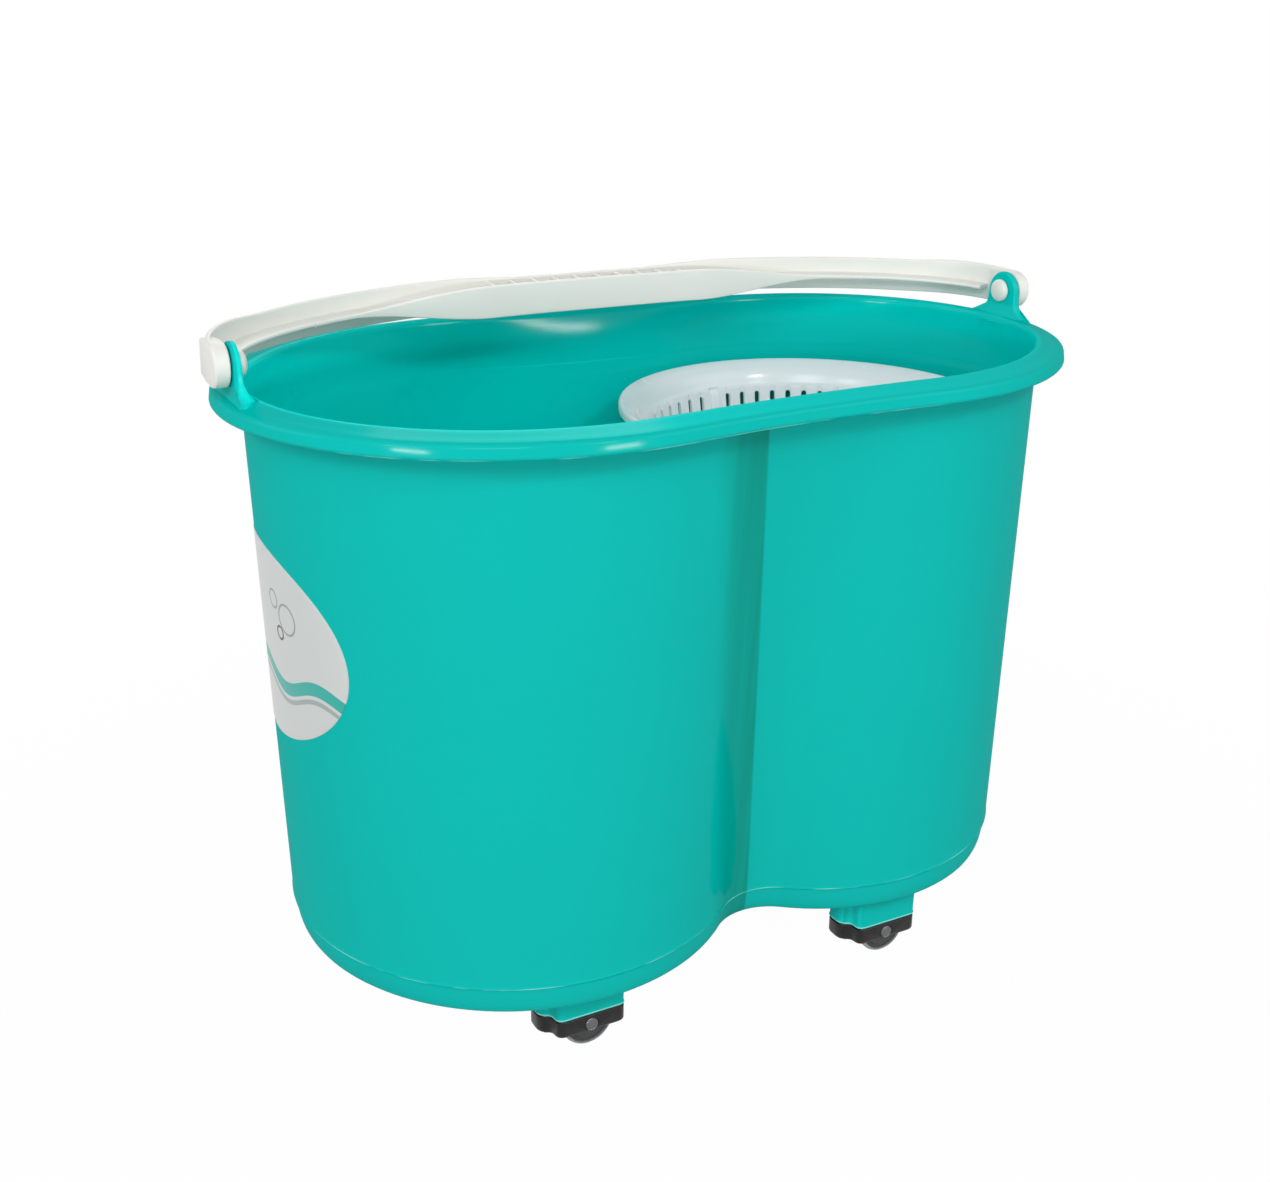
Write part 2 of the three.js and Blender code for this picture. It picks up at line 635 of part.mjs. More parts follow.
// A round-ended slot through the wall.
function wallSlot(angle) {
  const low = BASKET_RIM_Z + SLOT_LOW;
  const half = SLOT_WIDTH / 2;
  const top = BASKET_RIM_Z + SLOT_HIGH - half;
  const shape = new THREE.Shape();
  shape.moveTo(-half, low);
  shape.lineTo(half, low);
  shape.lineTo(half, top);
  shape.absarc(0, top, half, 0, Math.PI, false);
  shape.closePath();
  return extrude(shape, BASKET_RADIUS - 29.5, BASKET_RADIUS - 7.5)
    .rotateX(Math.PI / 2)
    .rotateZ(Math.PI / 2)
    .rotateZ(angle);
}

function floorSlot(angle) {
  const shape = roundedShape([[32, -1.7, 1.4], [68, -2.6, 2], [68, 2.6, 2], [32, 1.7, 1.4]]);
  return extrude(shape, BASKET_FLOOR_Z - 6, BASKET_FLOOR_Z + 4, 1).rotateZ(angle);
}

// An upright rib standing on the inside of the wall between two panels of slots.
function pilaster(angle) {
  const rim = BASKET_RADIUS;
  const floor = BASKET_FLOOR_Z;
  const points = [
    [rim - 14, BASKET_RIM_Z - 13], [rim - 17.6, BASKET_RIM_Z - 22], [rim - 24.3, floor + 9],
    [rim - 26.5, floor + 3], [rim - 24, floor + 3], [rim - 21.5, floor + 9],
    [rim - 14.7, BASKET_RIM_Z - 22], [rim - 12.5, BASKET_RIM_Z - 13.4],
  ].map(([x, z]) => new THREE.Vector2(x, z));
  return extrude(new THREE.Shape(points), -PILASTER_HALF_WIDTH, PILASTER_HALF_WIDTH)
    .rotateX(Math.PI / 2)
    .rotateZ(angle);
}

function basket() {
  const panel = (2 * Math.PI) / PANELS;
  const slots = [];
  const ribs = [];
  for (let p = 0; p < PANELS; p += 1) {
    const centre = PANEL_START + p * panel;
    ribs.push(pilaster(centre + panel / 2));
    for (let s = 0; s < SLOTS_PER_PANEL; s += 1) {
      slots.push(wallSlot(centre + (s - (SLOTS_PER_PANEL - 1) / 2) * SLOT_PITCH));
    }
    slots.push(floorSlot(centre), floorSlot(centre + panel / 2));
  }
  const skin = revolve(basketProfile(), BASKET_SEGMENTS).rotateZ(PANEL_START + SLOT_PITCH / 2);
  const solid = cut(union([skin, ...ribs]), slots);
  return node('spin_basket', toGeometry(solid), 'coolWhite', { x: BASKET_X });
}

// ---------------------------------------------------------------- castors
function castorHousing() {
  const top = HOUSING_TOP - GAP;
  const tabs = HOUSING_TABS.map(({ half, from, to }) => (
    box(-half, half, from, to, top - 0.5, top + TAB_HEIGHT)
  ));
  const body = union([extrude(podPlan(0), HOUSING_BOTTOM, top), ...tabs]);
  const well = { x: WHEEL_RADIUS + 1.5, y: WHEEL_WIDTH / 2 + 1 };
  const bore = (radius, from, to) => rod(radius, from, to, 16)
    .rotateX(Math.PI / 2)
    .translate(0, 0, WHEEL_RADIUS);
  return cut(body, [
    box(-well.x, well.x, -well.y, well.y, 0, UNDERSIDE_Z),
    bore(AXLE_RADIUS + GAP, -2 * POD.back, 2 * POD.back),
    bore(AXLE_HEAD_RADIUS + GAP, AXLE_HEAD_Y - GAP, AXLE_TAIL_Y + 1),
  ]);
}

function castorWheel() {
  const half = WHEEL_WIDTH / 2;
  const bore = AXLE_RADIUS + GAP;
  const face = WHEEL_RADIUS - WHEEL_EDGE;
  return revolve([
    [bore, -half], [face, -half], [WHEEL_RADIUS, WHEEL_EDGE - half],
    [WHEEL_RADIUS, half - WHEEL_EDGE], [face, half], [bore, half], [bore, -half],
  ], 20).rotateX(Math.PI / 2);
}

// Head on the -Y side, upset tail inside the housing's back wall.
function castorAxle() {
  const headTop = AXLE_HEAD_Y + 1.7;
  return revolve([
    [0, -AXLE_TAIL_Y], [AXLE_RADIUS, -AXLE_TAIL_Y], [AXLE_RADIUS, AXLE_HEAD_Y],
    [AXLE_HEAD_RADIUS, AXLE_HEAD_Y], [AXLE_HEAD_RADIUS, headTop], [0, headTop],
  ], 14).rotateX(Math.PI / 2);
}

function castors() {
  const housing = toGeometry(castorHousing());
  return castorPlaces().flatMap(({ name, x, y, turn }) => {
    const pieces = [
      node(`castor_housing_${name}`, housing.clone(), 'black', { x, y }),
      node(`castor_wheel_${name}`, castorWheel(), 'grey', { x, y, z: WHEEL_RADIUS }),
      node(`castor_axle_${name}`, castorAxle(), 'grey', { x, y, z: WHEEL_RADIUS }),
    ];
    for (const piece of pieces) piece.rotation.z = turn;
    return pieces;
  });
}

// ---------------------------------------------------------------- assembly
const mopBucket = new THREE.Group();
mopBucket.add(
  bucket(),
  handle(),
  handlePin('handle_pin_right', 1),
  handlePin('handle_pin_left', -1),
  ...spindleStack(),
  basket(),
  ...castors(),
);

export default mopBucket;
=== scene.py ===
"""Looks of a twin-lobe spin mop bucket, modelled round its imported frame."""
import json
import math

import bmesh
import bpy
import numpy as np
from bpy.props import FloatProperty, FloatVectorProperty, IntProperty, PointerProperty
from mathutils import Matrix, Vector


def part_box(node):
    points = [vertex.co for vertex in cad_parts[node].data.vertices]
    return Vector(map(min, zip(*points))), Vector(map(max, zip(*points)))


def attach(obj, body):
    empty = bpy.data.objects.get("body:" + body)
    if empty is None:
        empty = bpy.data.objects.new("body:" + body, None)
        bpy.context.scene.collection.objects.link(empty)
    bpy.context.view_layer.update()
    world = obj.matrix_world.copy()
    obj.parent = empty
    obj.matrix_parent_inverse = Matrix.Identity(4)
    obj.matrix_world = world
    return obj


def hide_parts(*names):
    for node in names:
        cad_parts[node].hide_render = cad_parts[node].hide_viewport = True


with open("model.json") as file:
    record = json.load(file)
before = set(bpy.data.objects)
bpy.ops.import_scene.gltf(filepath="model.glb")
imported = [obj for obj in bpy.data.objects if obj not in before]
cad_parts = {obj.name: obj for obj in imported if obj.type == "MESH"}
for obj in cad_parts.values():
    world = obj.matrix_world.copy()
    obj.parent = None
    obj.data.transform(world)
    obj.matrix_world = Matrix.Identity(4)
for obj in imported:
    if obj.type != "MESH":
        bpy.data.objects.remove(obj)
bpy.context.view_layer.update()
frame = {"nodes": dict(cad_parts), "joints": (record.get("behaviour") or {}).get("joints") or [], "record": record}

bl_info = {
    "name": "Spin mop bucket",
    "version": (1, 0, 0),
    "blender": (4, 5, 0),
    "location": "View3D > Sidebar > Bucket",
    "description": "Builds a twin-lobe bucket with a wringer basket, a bail handle and castors",
    "category": "Add Mesh",
}

MM = 0.001

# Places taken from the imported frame.
SHELL_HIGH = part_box("bucket_shell")[1]
BASKET_LOW, BASKET_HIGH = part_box("spin_basket")
JOINTS = {joint["name"]: joint for joint in frame["joints"]}
PIVOT_Z = JOINTS["handle_swing"]["pos_m"][2]
BASKET_X = JOINTS["basket_spin"]["pos_m"][0]
CORNERS = ("front_left", "front_right", "rear_left", "rear_right")
WHEEL_CENTRES = {corner: Vector(JOINTS["roll_" + corner]["pos_m"]) for corner in CORNERS}

# Sizes of the bucket's pieces are in millimetres. Heights on the wall start at its underside, which
# is UNDERSIDE above the floor it stands on. TOP and BASE are the outline's sizes at the rim and at
# the foot: a wide left lobe and a narrower right one, and a stretch along X.
UNDERSIDE = 39.0
HEIGHT = 293.0
TOP = {"length": 219.2, "left": 120.2, "right": 112.1, "waist": 111.7, "stretch": 1.14}
BASE = {"length": 206.6, "left": 120.6, "right": 112.8, "waist": 83.9, "stretch": 0.99}
FLOOR = 2.8
LOBE_POINTS = 112
WAIST_POINTS = 28
# The rounded skirt at the foot, and the bead above it as heights over the skirt and reaches.
SKIRT_HEIGHT = 13.8
SKIRT_INSET = 3.0
SKIRT_PROUD = 0.8
SKIRT_BEAD = ((0.05, -0.4), (0.3, 0.05), (0.7, 0.3), (1.1, 0.34), (1.5, 0.22), (1.9, 0.05), (2.4, 0))
# Painted shade in the fold at the waist: its lean to the left as a share of height, where it
# starts, is deepest and ends across the bucket at floor level, the width of its sharp end, how far
# below the rim's top it stops, and the width of the streaks in it.
FOLD_SHADE = {
    "lean": 0.0545, "left": -21.0, "middle": 3.0, "right": 12.4, "edge": 1.2, "stop": 9.5,
    "streak": 8.0,
}
# Painted highlights along moulded edges: height above the floor, half width, and the strength of a
# whole line. A line without a strength is a broken one.
HIGHLIGHT_LINES = (
    (20.7, 0.7, 1.0),
    (UNDERSIDE + SKIRT_HEIGHT + 0.9, 0.28, None),
    (UNDERSIDE + HEIGHT - 9.6, 0.3, None),
)
# Rim ears: the pivot's height above the rim's top, the radius of the head, and how far the inner
# and outer faces are from the middle. The pins have a domed head, a shank through the ear and a
# thinner tail in the handle.
PIVOT_HEIGHT = 13.7
EAR_RADIUS = 11.2
EAR_FACES = (222.6, 227.0)
PIN_HEAD = {"radius": 6.3, "height": 4.2}
PIN_RADIUS = 4.2
PIN_TAIL = {"radius": 3.6, "length": 6.0}
# Castor pods in plan, round the wheel's joint: half widths and reaches of the nose and of the wider
# body behind it, and the step between the two. A housing is cut back on its right, and its wheel
# sits further out along the axle than the joint.
POD = {"nose": 13.0, "nose_half": 19.0, "body_half": 25.0, "back": 9.5, "step": -4.0}
HOUSING_CUT = 5.0
HOUSING_TOP = 19.7
WHEEL_HALF = 5.5
WHEEL_FORWARD = 4.0
# The post's wall, the bore for the spindle, and the gap below the nut.
POST_WALL = 2.6
SPINDLE_BORE = 4.3
NUT_GAP = 0.3
# The label's middle, from the tip of the left lobe round the wall and up it, and its half sizes.
# Its printed wave: length of a radian, swing and height above the floor.
LABEL = {"along": 13.8, "level": 169.6, "half_length": 78.1, "half_height": 50.7}
WAVE = {"length": 9.0, "swing": 4.0, "level": 196.0}

# Handle, in its own plane: x across, y away from the pivot, z across the band.
HANDLE = {"depth": 100.0, "span": 235.0, "grip": 31.0, "band": 2.6, "tilt": 2.8}
BAND = {"grip": 5.6, "above": 8.0, "below": 11.0}
WEB = {"offset": -1.7, "thickness": 2.2, "arm": 10.8, "grip": 21.0}
FLANGE = {"low": -10.6, "high": 7.2, "full": 63.0, "end": 150.0}
BOSS = {"radius": 10.3, "thickness": 7.6, "bore": 3.9}

# Basket: panels of slots round the wall, one place in ten a rib, and the first rib's angle.
PANELS = 6
RIB_EVERY = 10
FIRST_RIB = math.radians(54)
FLOOR_SLOTS = 12

# Lamps round the bucket: azimuth from the front and elevation in degrees, distance, width and
# height in metres, power in watts. The low ones draw the highlights along the rim.
LAMPS = (
    ("key", -60, 32, 2.2, 0.5, 0.5, 8.5),
    ("front", -27, 36, 2.5, 0.9, 0.9, 13.0),
    ("window", 14, 40, 2.4, 0.25, 0.25, 7.0),
    ("low_left", -53, 6.5, 2.4, 0.5, 0.09, 9.0),
    ("low_right", 16, 6.5, 2.4, 0.5, 0.09, 9.0),
    ("left", -112, 25, 2.5, 1.5, 1.5, 11.0),
    ("right", 50, 34, 2.5, 1.5, 1.5, 9.0),
    ("back", 158, 36, 2.4, 1.0, 1.0, 12.0),
)
LAMP_AIM = Vector((0, 0, 0.22))
# The pale room's light on the bucket, where 1 is white, and the distances in metres over which the
# floor fades into the backdrop, with the share of plain white it starts from.
ROOM_LIGHT = 0.28
FLOOR_FADE = {"start": 0.3, "end": 0.8, "least": 0.985}


def linear(code):
    """An sRGB hex colour as linear RGBA."""
    channels = [int(code[i:i + 2], 16) / 255 for i in (0, 2, 4)]
    return (*[c / 12.92 if c <= 0.04045 else ((c + 0.055) / 1.055) ** 2.4 for c in channels], 1.0)


# ---------------------------------------------------------------- settings
class BucketSettings(bpy.types.PropertyGroup):
    """Sizes and colours of the bucket that a user may change."""

    wall: FloatProperty(
        name="Wall", description="Thickness of the bucket wall", default=2.5 * MM, unit="LENGTH")
    rim_reach: FloatProperty(
        name="Rim reach", description="How far the rolled rim stands out from the wall",
        default=SHELL_HIGH.x - TOP["length"] * MM, unit="LENGTH")
    rim_depth: FloatProperty(
        name="Rim depth", description="Height of the rolled rim's outer face",
        default=9.9 * MM, unit="LENGTH")
    step_line: FloatProperty(
        name="Inner line", description="Depth of the fine moulded line below the rim",
        default=30.5 * MM, unit="LENGTH")
    body_colour: FloatVectorProperty(
        name="Body colour", description="Colour of the bucket moulding", subtype="COLOR",
        size=3, default=linear("00B8B0")[:3])


class BasketSettings(bpy.types.PropertyGroup):
    """Sizes of the wringer basket that a user may change."""

    radius: FloatProperty(
        name="Radius", description="Outside radius of the basket rim",
        default=(BASKET_HIGH.x - BASKET_LOW.x) / 2, unit="LENGTH")
    depth: FloatProperty(
        name="Depth", description="Rim to the inside of the floor", default=96 * MM, unit="LENGTH")
    positions: IntProperty(
        name="Slot positions", description="Places round the wall, one in ten of them a rib",
        default=60)
    slot_width: FloatProperty(
        name="Slot width", description="Width of one wall slot", default=3 * MM, unit="LENGTH")
    start: FloatProperty(
        name="First slot", description="Angle of the first slot", subtype="ANGLE",
        default=math.radians(-19))


class HandleSettings(bpy.types.PropertyGroup):
    """Sizes of the handle's grip that a user may change."""

    ribs: IntProperty(name="Grip ribs", description="Number of ribs across the grip", default=10)
    rib_pitch: FloatProperty(
        name="Rib pitch", description="Distance between ribs", default=13 * MM, unit="LENGTH")


class StageSettings(bpy.types.PropertyGroup):
    """Where the camera stands and how it is turned."""

    azimuth: FloatProperty(
        name="Azimuth", description="Camera direction round the bucket", subtype="ANGLE",
        default=math.radians(-28.777))
    elevation: FloatProperty(
        name="Elevation", description="Camera height above the horizon", subtype="ANGLE",
        default=math.radians(18.152))
    roll: FloatProperty(
        name="Roll", description="Camera tilt about its own axis", subtype="ANGLE",
        default=math.radians(0.985))
    distance: FloatProperty(
        name="Distance", description="Camera to the aimed point", default=0.87947, unit="LENGTH")


# ---------------------------------------------------------------- mesh helpers
def lerp(start, end, share):
    """The value at a share of the way from start to end."""
    return start + (end - start) * share


def smooth_step(value, low, high):
    """Rises smoothly from 0 at low to 1 at high."""
    share = min(max((value - low) / (high - low), 0.0), 1.0)
    return share * share * (3 - 2 * share)


def object_from(name, points, faces, material=None, crease=38):
    """One object at the origin, smooth except where faces meet at more than crease degrees."""
    mesh = bpy.data.meshes.new(name)
    mesh.from_pydata([tuple(point) for point in points], [], faces)
    piece = bpy.data.objects.new(name, mesh)
    bpy.context.scene.collection.objects.link(piece)
    shell = bmesh.new()
    shell.from_mesh(mesh)
    bmesh.ops.remove_doubles(shell, verts=shell.verts, dist=1e-6)
    bmesh.ops.recalc_face_normals(shell, faces=shell.faces)
    shell.to_mesh(mesh)
    shell.free()
    finish_surface(piece, material, crease)
    return piece


def finish_surface(piece, material, crease=38):
    """Smooth shading with sharp creases, and one material."""
    piece.data.shade_smooth()
    piece.data.set_sharp_from_angle(angle=math.radians(crease))
    if material:
        piece.data.materials.clear()
        piece.data.materials.append(material)


def skin(name, rings, material=None, closed=False, crease=38):
    """Joins rings of equal point count, given in millimetres, into one closed body."""
    count = len(rings[0])
    points = np.concatenate([np.asarray(ring, float) for ring in rings]) * MM
    spans = len(rings) if closed else len(rings) - 1
    faces = []
    for ring in range(spans):
        low = ring * count
        high = ((ring + 1) % len(rings)) * count
        for i in range(count):
            j = (i + 1) % count
            faces.append((low + i, low + j, high + j, high + i))
    if not closed:
        points = list(points)
        for base in (0, (len(rings) - 1) * count):
            points.append(np.mean(points[base:base + count], axis=0))
            centre = len(points) - 1
            faces += [(base + i, base + (i + 1) % count, centre) for i in range(count)]
    return object_from(name, points, faces, material, crease)


def turned(name, profile, material=None, segments=64, closed=False, axis="Z", crease=38):
    """Turns a [radius, height] profile, in millimetres, about an axis through the origin."""
    angles = np.arange(segments) * 2 * math.pi / segments
    rings = []
    for radius, height in profile:
        across = radius * np.cos(angles)
        along = radius * np.sin(angles)
        level = np.full(segments, float(height))
        order = {
            "Z": (across, along, level), "Y": (across, level, along), "X": (level, across, along)}
        rings.append(np.stack(order[axis], axis=1))
    return skin(name, rings, material, closed, crease)


def arc(centre, radius, start, end, steps):
    """Points of a circular arc, with angles in degrees."""
    angles = np.radians(np.linspace(start, end, steps + 1))
    return [(centre[0] + radius * math.cos(a), centre[1] + radius * math.sin(a)) for a in angles]


def rounded_outline(corners, steps=6):
    """A closed outline through corner points (x, y, radius), each corner rounded."""
    outline = []
    for i, (x, y, radius) in enumerate(corners):
        here = np.array([x, y], float)
        before = np.array(corners[i - 1][:2], float) - here
        after = np.array(corners[(i + 1) % len(corners)][:2], float) - here
        start = here + before * radius / np.linalg.norm(before)
        end = here + after * radius / np.linalg.norm(after)
        for k in range(steps + 1):
            t = k / steps
            outline.append((1 - t) ** 2 * start + 2 * t * (1 - t) * here + t * t * end)
    return np.array(outline)


def place(piece, x=0.0, y=0.0, z=0.0, turn=0.0):
    """Moves a piece's mesh, in metres, after a turn about Z."""
    piece.data.transform(Matrix.Translation((x, y, z)) @ Matrix.Rotation(turn, 4, "Z"))
    return piece


def bake(piece):
    """Replaces a piece's mesh by its evaluated mesh, and drops its modifiers."""
    graph = bpy.context.evaluated_depsgraph_get()
    mesh = bpy.data.meshes.new_from_object(piece.evaluated_get(graph))
    piece.modifiers.clear()
    piece.data = mesh
    mesh.name = piece.name


def combine(target, tools, operation):
    """Joins or cuts closed bodies, and removes the tools."""
    for tool in tools:
        modifier = target.modifiers.new("combine", "BOOLEAN")
        modifier.operation = operation
        modifier.object = tool
        modifier.solver = "MANIFOLD"
    bpy.context.view_layer.update()
    bake(target)
    for tool in tools:
        bpy.data.objects.remove(tool)
    return target


def deliver(piece, body, slot, *nodes):
    """Hands a finished piece to the frame."""
    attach(piece, body)
    if nodes:
        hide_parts(*nodes)


# ---------------------------------------------------------------- materials
def add_node(tree, kind, inputs=(), **settings):
    """Adds a node. Each input is a value, or the output socket that feeds it."""
    node = tree.nodes.new(kind)
    for name, value in settings.items():
        setattr(node, name, value)
    for key, value in dict(inputs).items():
        if isinstance(value, bpy.types.NodeSocket):
            tree.links.new(value, node.inputs[key])
        else:
            node.inputs[key].default_value = value
    return node


def new_material(name, **values):
    """A material with one Principled shader; values are set on its own sockets."""
    material = bpy.data.materials.new(name)
    material.use_nodes = True
    shader = material.node_tree.nodes["Principled BSDF"]
    for key, value in values.items():
        shader.inputs[key.replace("_", " ")].default_value = value
    return material, material.node_tree, shader


def moulded_plastic(name, colour, shade, roughness, peel, **values):
    """Injection-moulded plastic: an even colour, a slight orange peel and faint handling marks."""
    material, tree, shader = new_material(name, **values)
    where = add_node(tree, "ShaderNodeTexCoord")
    spread = add_node(tree, "ShaderNodeTexNoise", {
        "Vector": where.outputs["Object"], "Scale": 1 / (60 * MM), "Detail": 3.0})
    tint = add_node(tree, "ShaderNodeMix", {
        "Factor": spread.outputs["Fac"], "A": colour, "B": shade}, data_type="RGBA")
    tree.links.new(tint.outputs["Result"], shader.inputs["Base Color"])
    scuff = add_node(tree, "ShaderNodeTexNoise", {
        "Vector": where.outputs["Object"], "Scale": 1 / (9 * MM), "Detail": 6.0})
    gloss = add_node(tree, "ShaderNodeMapRange", {
        "Value": scuff.outputs["Fac"], "From Min": 0.3, "From Max": 0.7,
        "To Min": roughness - 0.04, "To Max": roughness + 0.06})
    tree.links.new(gloss.outputs["Result"], shader.inputs["Roughness"])
    # The peel is drawn coarser than a real one of a few millimetres, so that its waves show.
    grain = add_node(tree, "ShaderNodeTexNoise", {
        "Vector": where.outputs["Object"], "Scale": 1 / (12 * MM), "Detail": 2.0})
    bump = add_node(tree, "ShaderNodeBump", {
        "Height": grain.outputs["Fac"], "Strength": 0.5, "Distance": peel * MM})
    tree.links.new(bump.outputs["Normal"], shader.inputs["Normal"])
    return material


def teal_polypropylene():
    # Glossy polypropylene from a polished mould: soft, slightly wavy highlights.
    # The inside of the wall is painted lighter, most on the left, as painted light. The fold
    # between the lobes carries painted shade, and the moulded edges carry painted highlights.
    material = moulded_plastic(
        "polypropylene_teal", (*bpy.context.scene.mop_bucket.body_colour, 1.0), linear("00B5AD"),
        0.2, 0.002,
        IOR=1.49, Specular_IOR_Level=0.0, Coat_Weight=0.05, Coat_IOR=2.2, Coat_Roughness=0.12)
    tree = material.node_tree
    base = tree.nodes["Principled BSDF"].inputs["Base Color"]
    where = add_node(tree, "ShaderNodeTexCoord")
    outer = outer_side(tree, where)
    # Painted light: faces inside the wall get a lighter colour than the outside, lightest on the left.
    across = add_node(tree, "ShaderNodeSeparateXYZ", {0: where.outputs["Object"]}).outputs["X"]
    along = add_node(tree, "ShaderNodeMapRange", {
        "Value": across, "From Min": -170 * MM, "From Max": 90 * MM})
    inside = add_node(tree, "ShaderNodeMix", {
        "Factor": along.outputs["Result"], "A": linear("00E0D8"), "B": linear("00C4BD")},
        data_type="RGBA")
    wall = add_node(tree, "ShaderNodeMix", {
        "Factor": outer, "A": inside.outputs["Result"], "B": base.links[0].from_socket},
        data_type="RGBA")
    # Painted shade: the outer wall in the fold between the lobes is darkened towards 009384.
    fold_shaded = add_node(tree, "ShaderNodeMix", {
        "Factor": painted_fold_shade(tree, where, outer), "A": wall.outputs["Result"],
        "B": linear("009384")}, data_type="RGBA")
    # Painted highlights: pale lines where the moulded edges would catch the lamps.
    highlighted = add_node(tree, "ShaderNodeMix", {
        "Factor": painted_edge_highlights(tree, where, outer), "A": fold_shaded.outputs["Result"],
        "B": linear("86E2DB")}, data_type="RGBA")
    tree.links.new(highlighted.outputs["Result"], base)
    return material


def outer_side(tree, where):
    """One on faces that look away from the bucket's middle, zero on those that look into it."""
    level = add_node(tree, "ShaderNodeVectorMath", {
        0: where.outputs["Object"], 1: (1, 1, 0)}, operation="MULTIPLY")
    outward = add_node(tree, "ShaderNodeVectorMath", {
        0: where.outputs["Normal"], 1: level.outputs["Vector"]}, operation="DOT_PRODUCT")
    return add_node(tree, "ShaderNodeMapRange", {
        "Value": outward.outputs["Value"], "From Min": 0.02, "From Max": 0.05}).outputs["Result"]


def painted_fold_shade(tree, where, outer):
    """How much painted shade a point of the outer wall gets in the fold, soft on its left side only."""
    split = add_node(tree, "ShaderNodeSeparateXYZ", {0: where.outputs["Object"]})
    across = add_node(tree, "ShaderNodeMath", {
        0: split.outputs["Z"], 1: FOLD_SHADE["lean"], 2: split.outputs["X"]},
        operation="MULTIPLY_ADD")
    soft = add_node(tree, "ShaderNodeMapRange", {
        "Value": across.outputs[0], "From Min": FOLD_SHADE["left"] * MM, "From Max": FOLD_SHADE["middle"] * MM},
        interpolation_type="SMOOTHSTEP")
    sharp = add_node(tree, "ShaderNodeMapRange", {
        "Value": across.outputs[0], "From Min": (FOLD_SHADE["right"] - FOLD_SHADE["edge"]) * MM,
        "From Max": FOLD_SHADE["right"] * MM, "To Min": 1.0, "To Max": 0.0})
    below = add_node(tree, "ShaderNodeMath", {
        0: split.outputs["Z"], 1: (UNDERSIDE + HEIGHT - FOLD_SHADE["stop"]) * MM},
        operation="LESS_THAN")
    # Streaks drawn out upwards take up to a third off the painted shade.
    drawn = add_node(tree, "ShaderNodeVectorMath", {
        0: where.outputs["Object"], 1: (1, 0, 0.03)}, operation="MULTIPLY")
    streaks = add_node(tree, "ShaderNodeTexNoise", {
        "Vector": drawn.outputs["Vector"], "Scale": 1 / (FOLD_SHADE["streak"] * MM), "Detail": 2.0})
    share = add_node(tree, "ShaderNodeMapRange", {
        "Value": streaks.outputs["Fac"], "From Min": 0.35, "From Max": 0.6, "To Min": 0.65})
    for mask in (soft.outputs["Result"], sharp.outputs["Result"], outer, below.outputs[0]):
        share = add_node(tree, "ShaderNodeMath", {0: share.outputs[0], 1: mask},
                         operation="MULTIPLY")
    return share.outputs[0]


def painted_edge_highlights(tree, where, outer):
    """Painted highlight lines: broken ones on the skirt's bead and under the rim, a whole one on each pod."""
    split = add_node(tree, "ShaderNodeSeparateXYZ", {0: where.outputs["Object"]})
    gaps = add_node(tree, "ShaderNodeTexNoise", {
        "Vector": where.outputs["Object"], "Scale": 1 / (28 * MM), "Detail": 2.0})
    run = add_node(tree, "ShaderNodeMapRange", {
        "Value": gaps.outputs["Fac"], "From Min": 0.46, "From Max": 0.64})
    run = add_node(tree, "ShaderNodeMath", {0: run.outputs["Result"], 1: outer},
                   operation="MULTIPLY")
    share = 0.0
    for level, half, strength in HIGHLIGHT_LINES:
        on_line = add_node(tree, "ShaderNodeMath", {
            0: split.outputs["Z"], 1: level * MM, 2: half * MM}, operation="COMPARE")
        part = add_node(tree, "ShaderNodeMath", {
            0: on_line.outputs[0], 1: strength or run.outputs[0]}, operation="MULTIPLY")
        share = add_node(tree, "ShaderNodeMath", {0: part.outputs[0], 1: share},
                         operation="MAXIMUM").outputs[0]
    return share


def white_polypropylene():
    # Satin polypropylene: off-white with a trace of grey, its highlights broad and dull.
    return moulded_plastic(
        "polypropylene_white", linear("E7E7E2"), linear("E2E3DD"), 0.42, 0.01, IOR=1.49)


def basket_polypropylene():
    # Cool white polypropylene, glossier than the handle, with small sharp highlights.
    return moulded_plastic(
        "polypropylene_cool_white", linear("EAEFF2"), linear("E6ECEF"), 0.22, 0.006, IOR=1.49)


def black_nylon():
    # Glass-filled nylon: near black, semi-gloss, greyed where it is scuffed.
    material, tree, shader = new_material("nylon_black", IOR=1.53, Specular_IOR_Level=0.25)
    where = add_node(tree, "ShaderNodeTexCoord")
    scuffs = add_node(tree, "ShaderNodeTexNoise", {
        "Vector": where.outputs["Object"], "Scale": 1 / (3 * MM), "Detail": 8.0, "Roughness": 0.7})
    worn = add_node(tree, "ShaderNodeMapRange", {
        "Value": scuffs.outputs["Fac"], "From Min": 0.5, "From Max": 0.75})
    tint = add_node(tree, "ShaderNodeMix", {
        "Factor": worn.outputs["Result"], "A": linear("141212"), "B": linear("252322")},
        data_type="RGBA")
    tree.links.new(tint.outputs["Result"], shader.inputs["Base Color"])
    gloss = add_node(tree, "ShaderNodeMapRange", {
        "Value": scuffs.outputs["Fac"], "To Min": 0.28, "To Max": 0.5})
    tree.links.new(gloss.outputs["Result"], shader.inputs["Roughness"])
    bump = add_node(tree, "ShaderNodeBump", {
        "Height": scuffs.outputs["Fac"], "Strength": 0.4, "Distance": 0.08 * MM})
    tree.links.new(bump.outputs["Normal"], shader.inputs["Normal"])
    return material


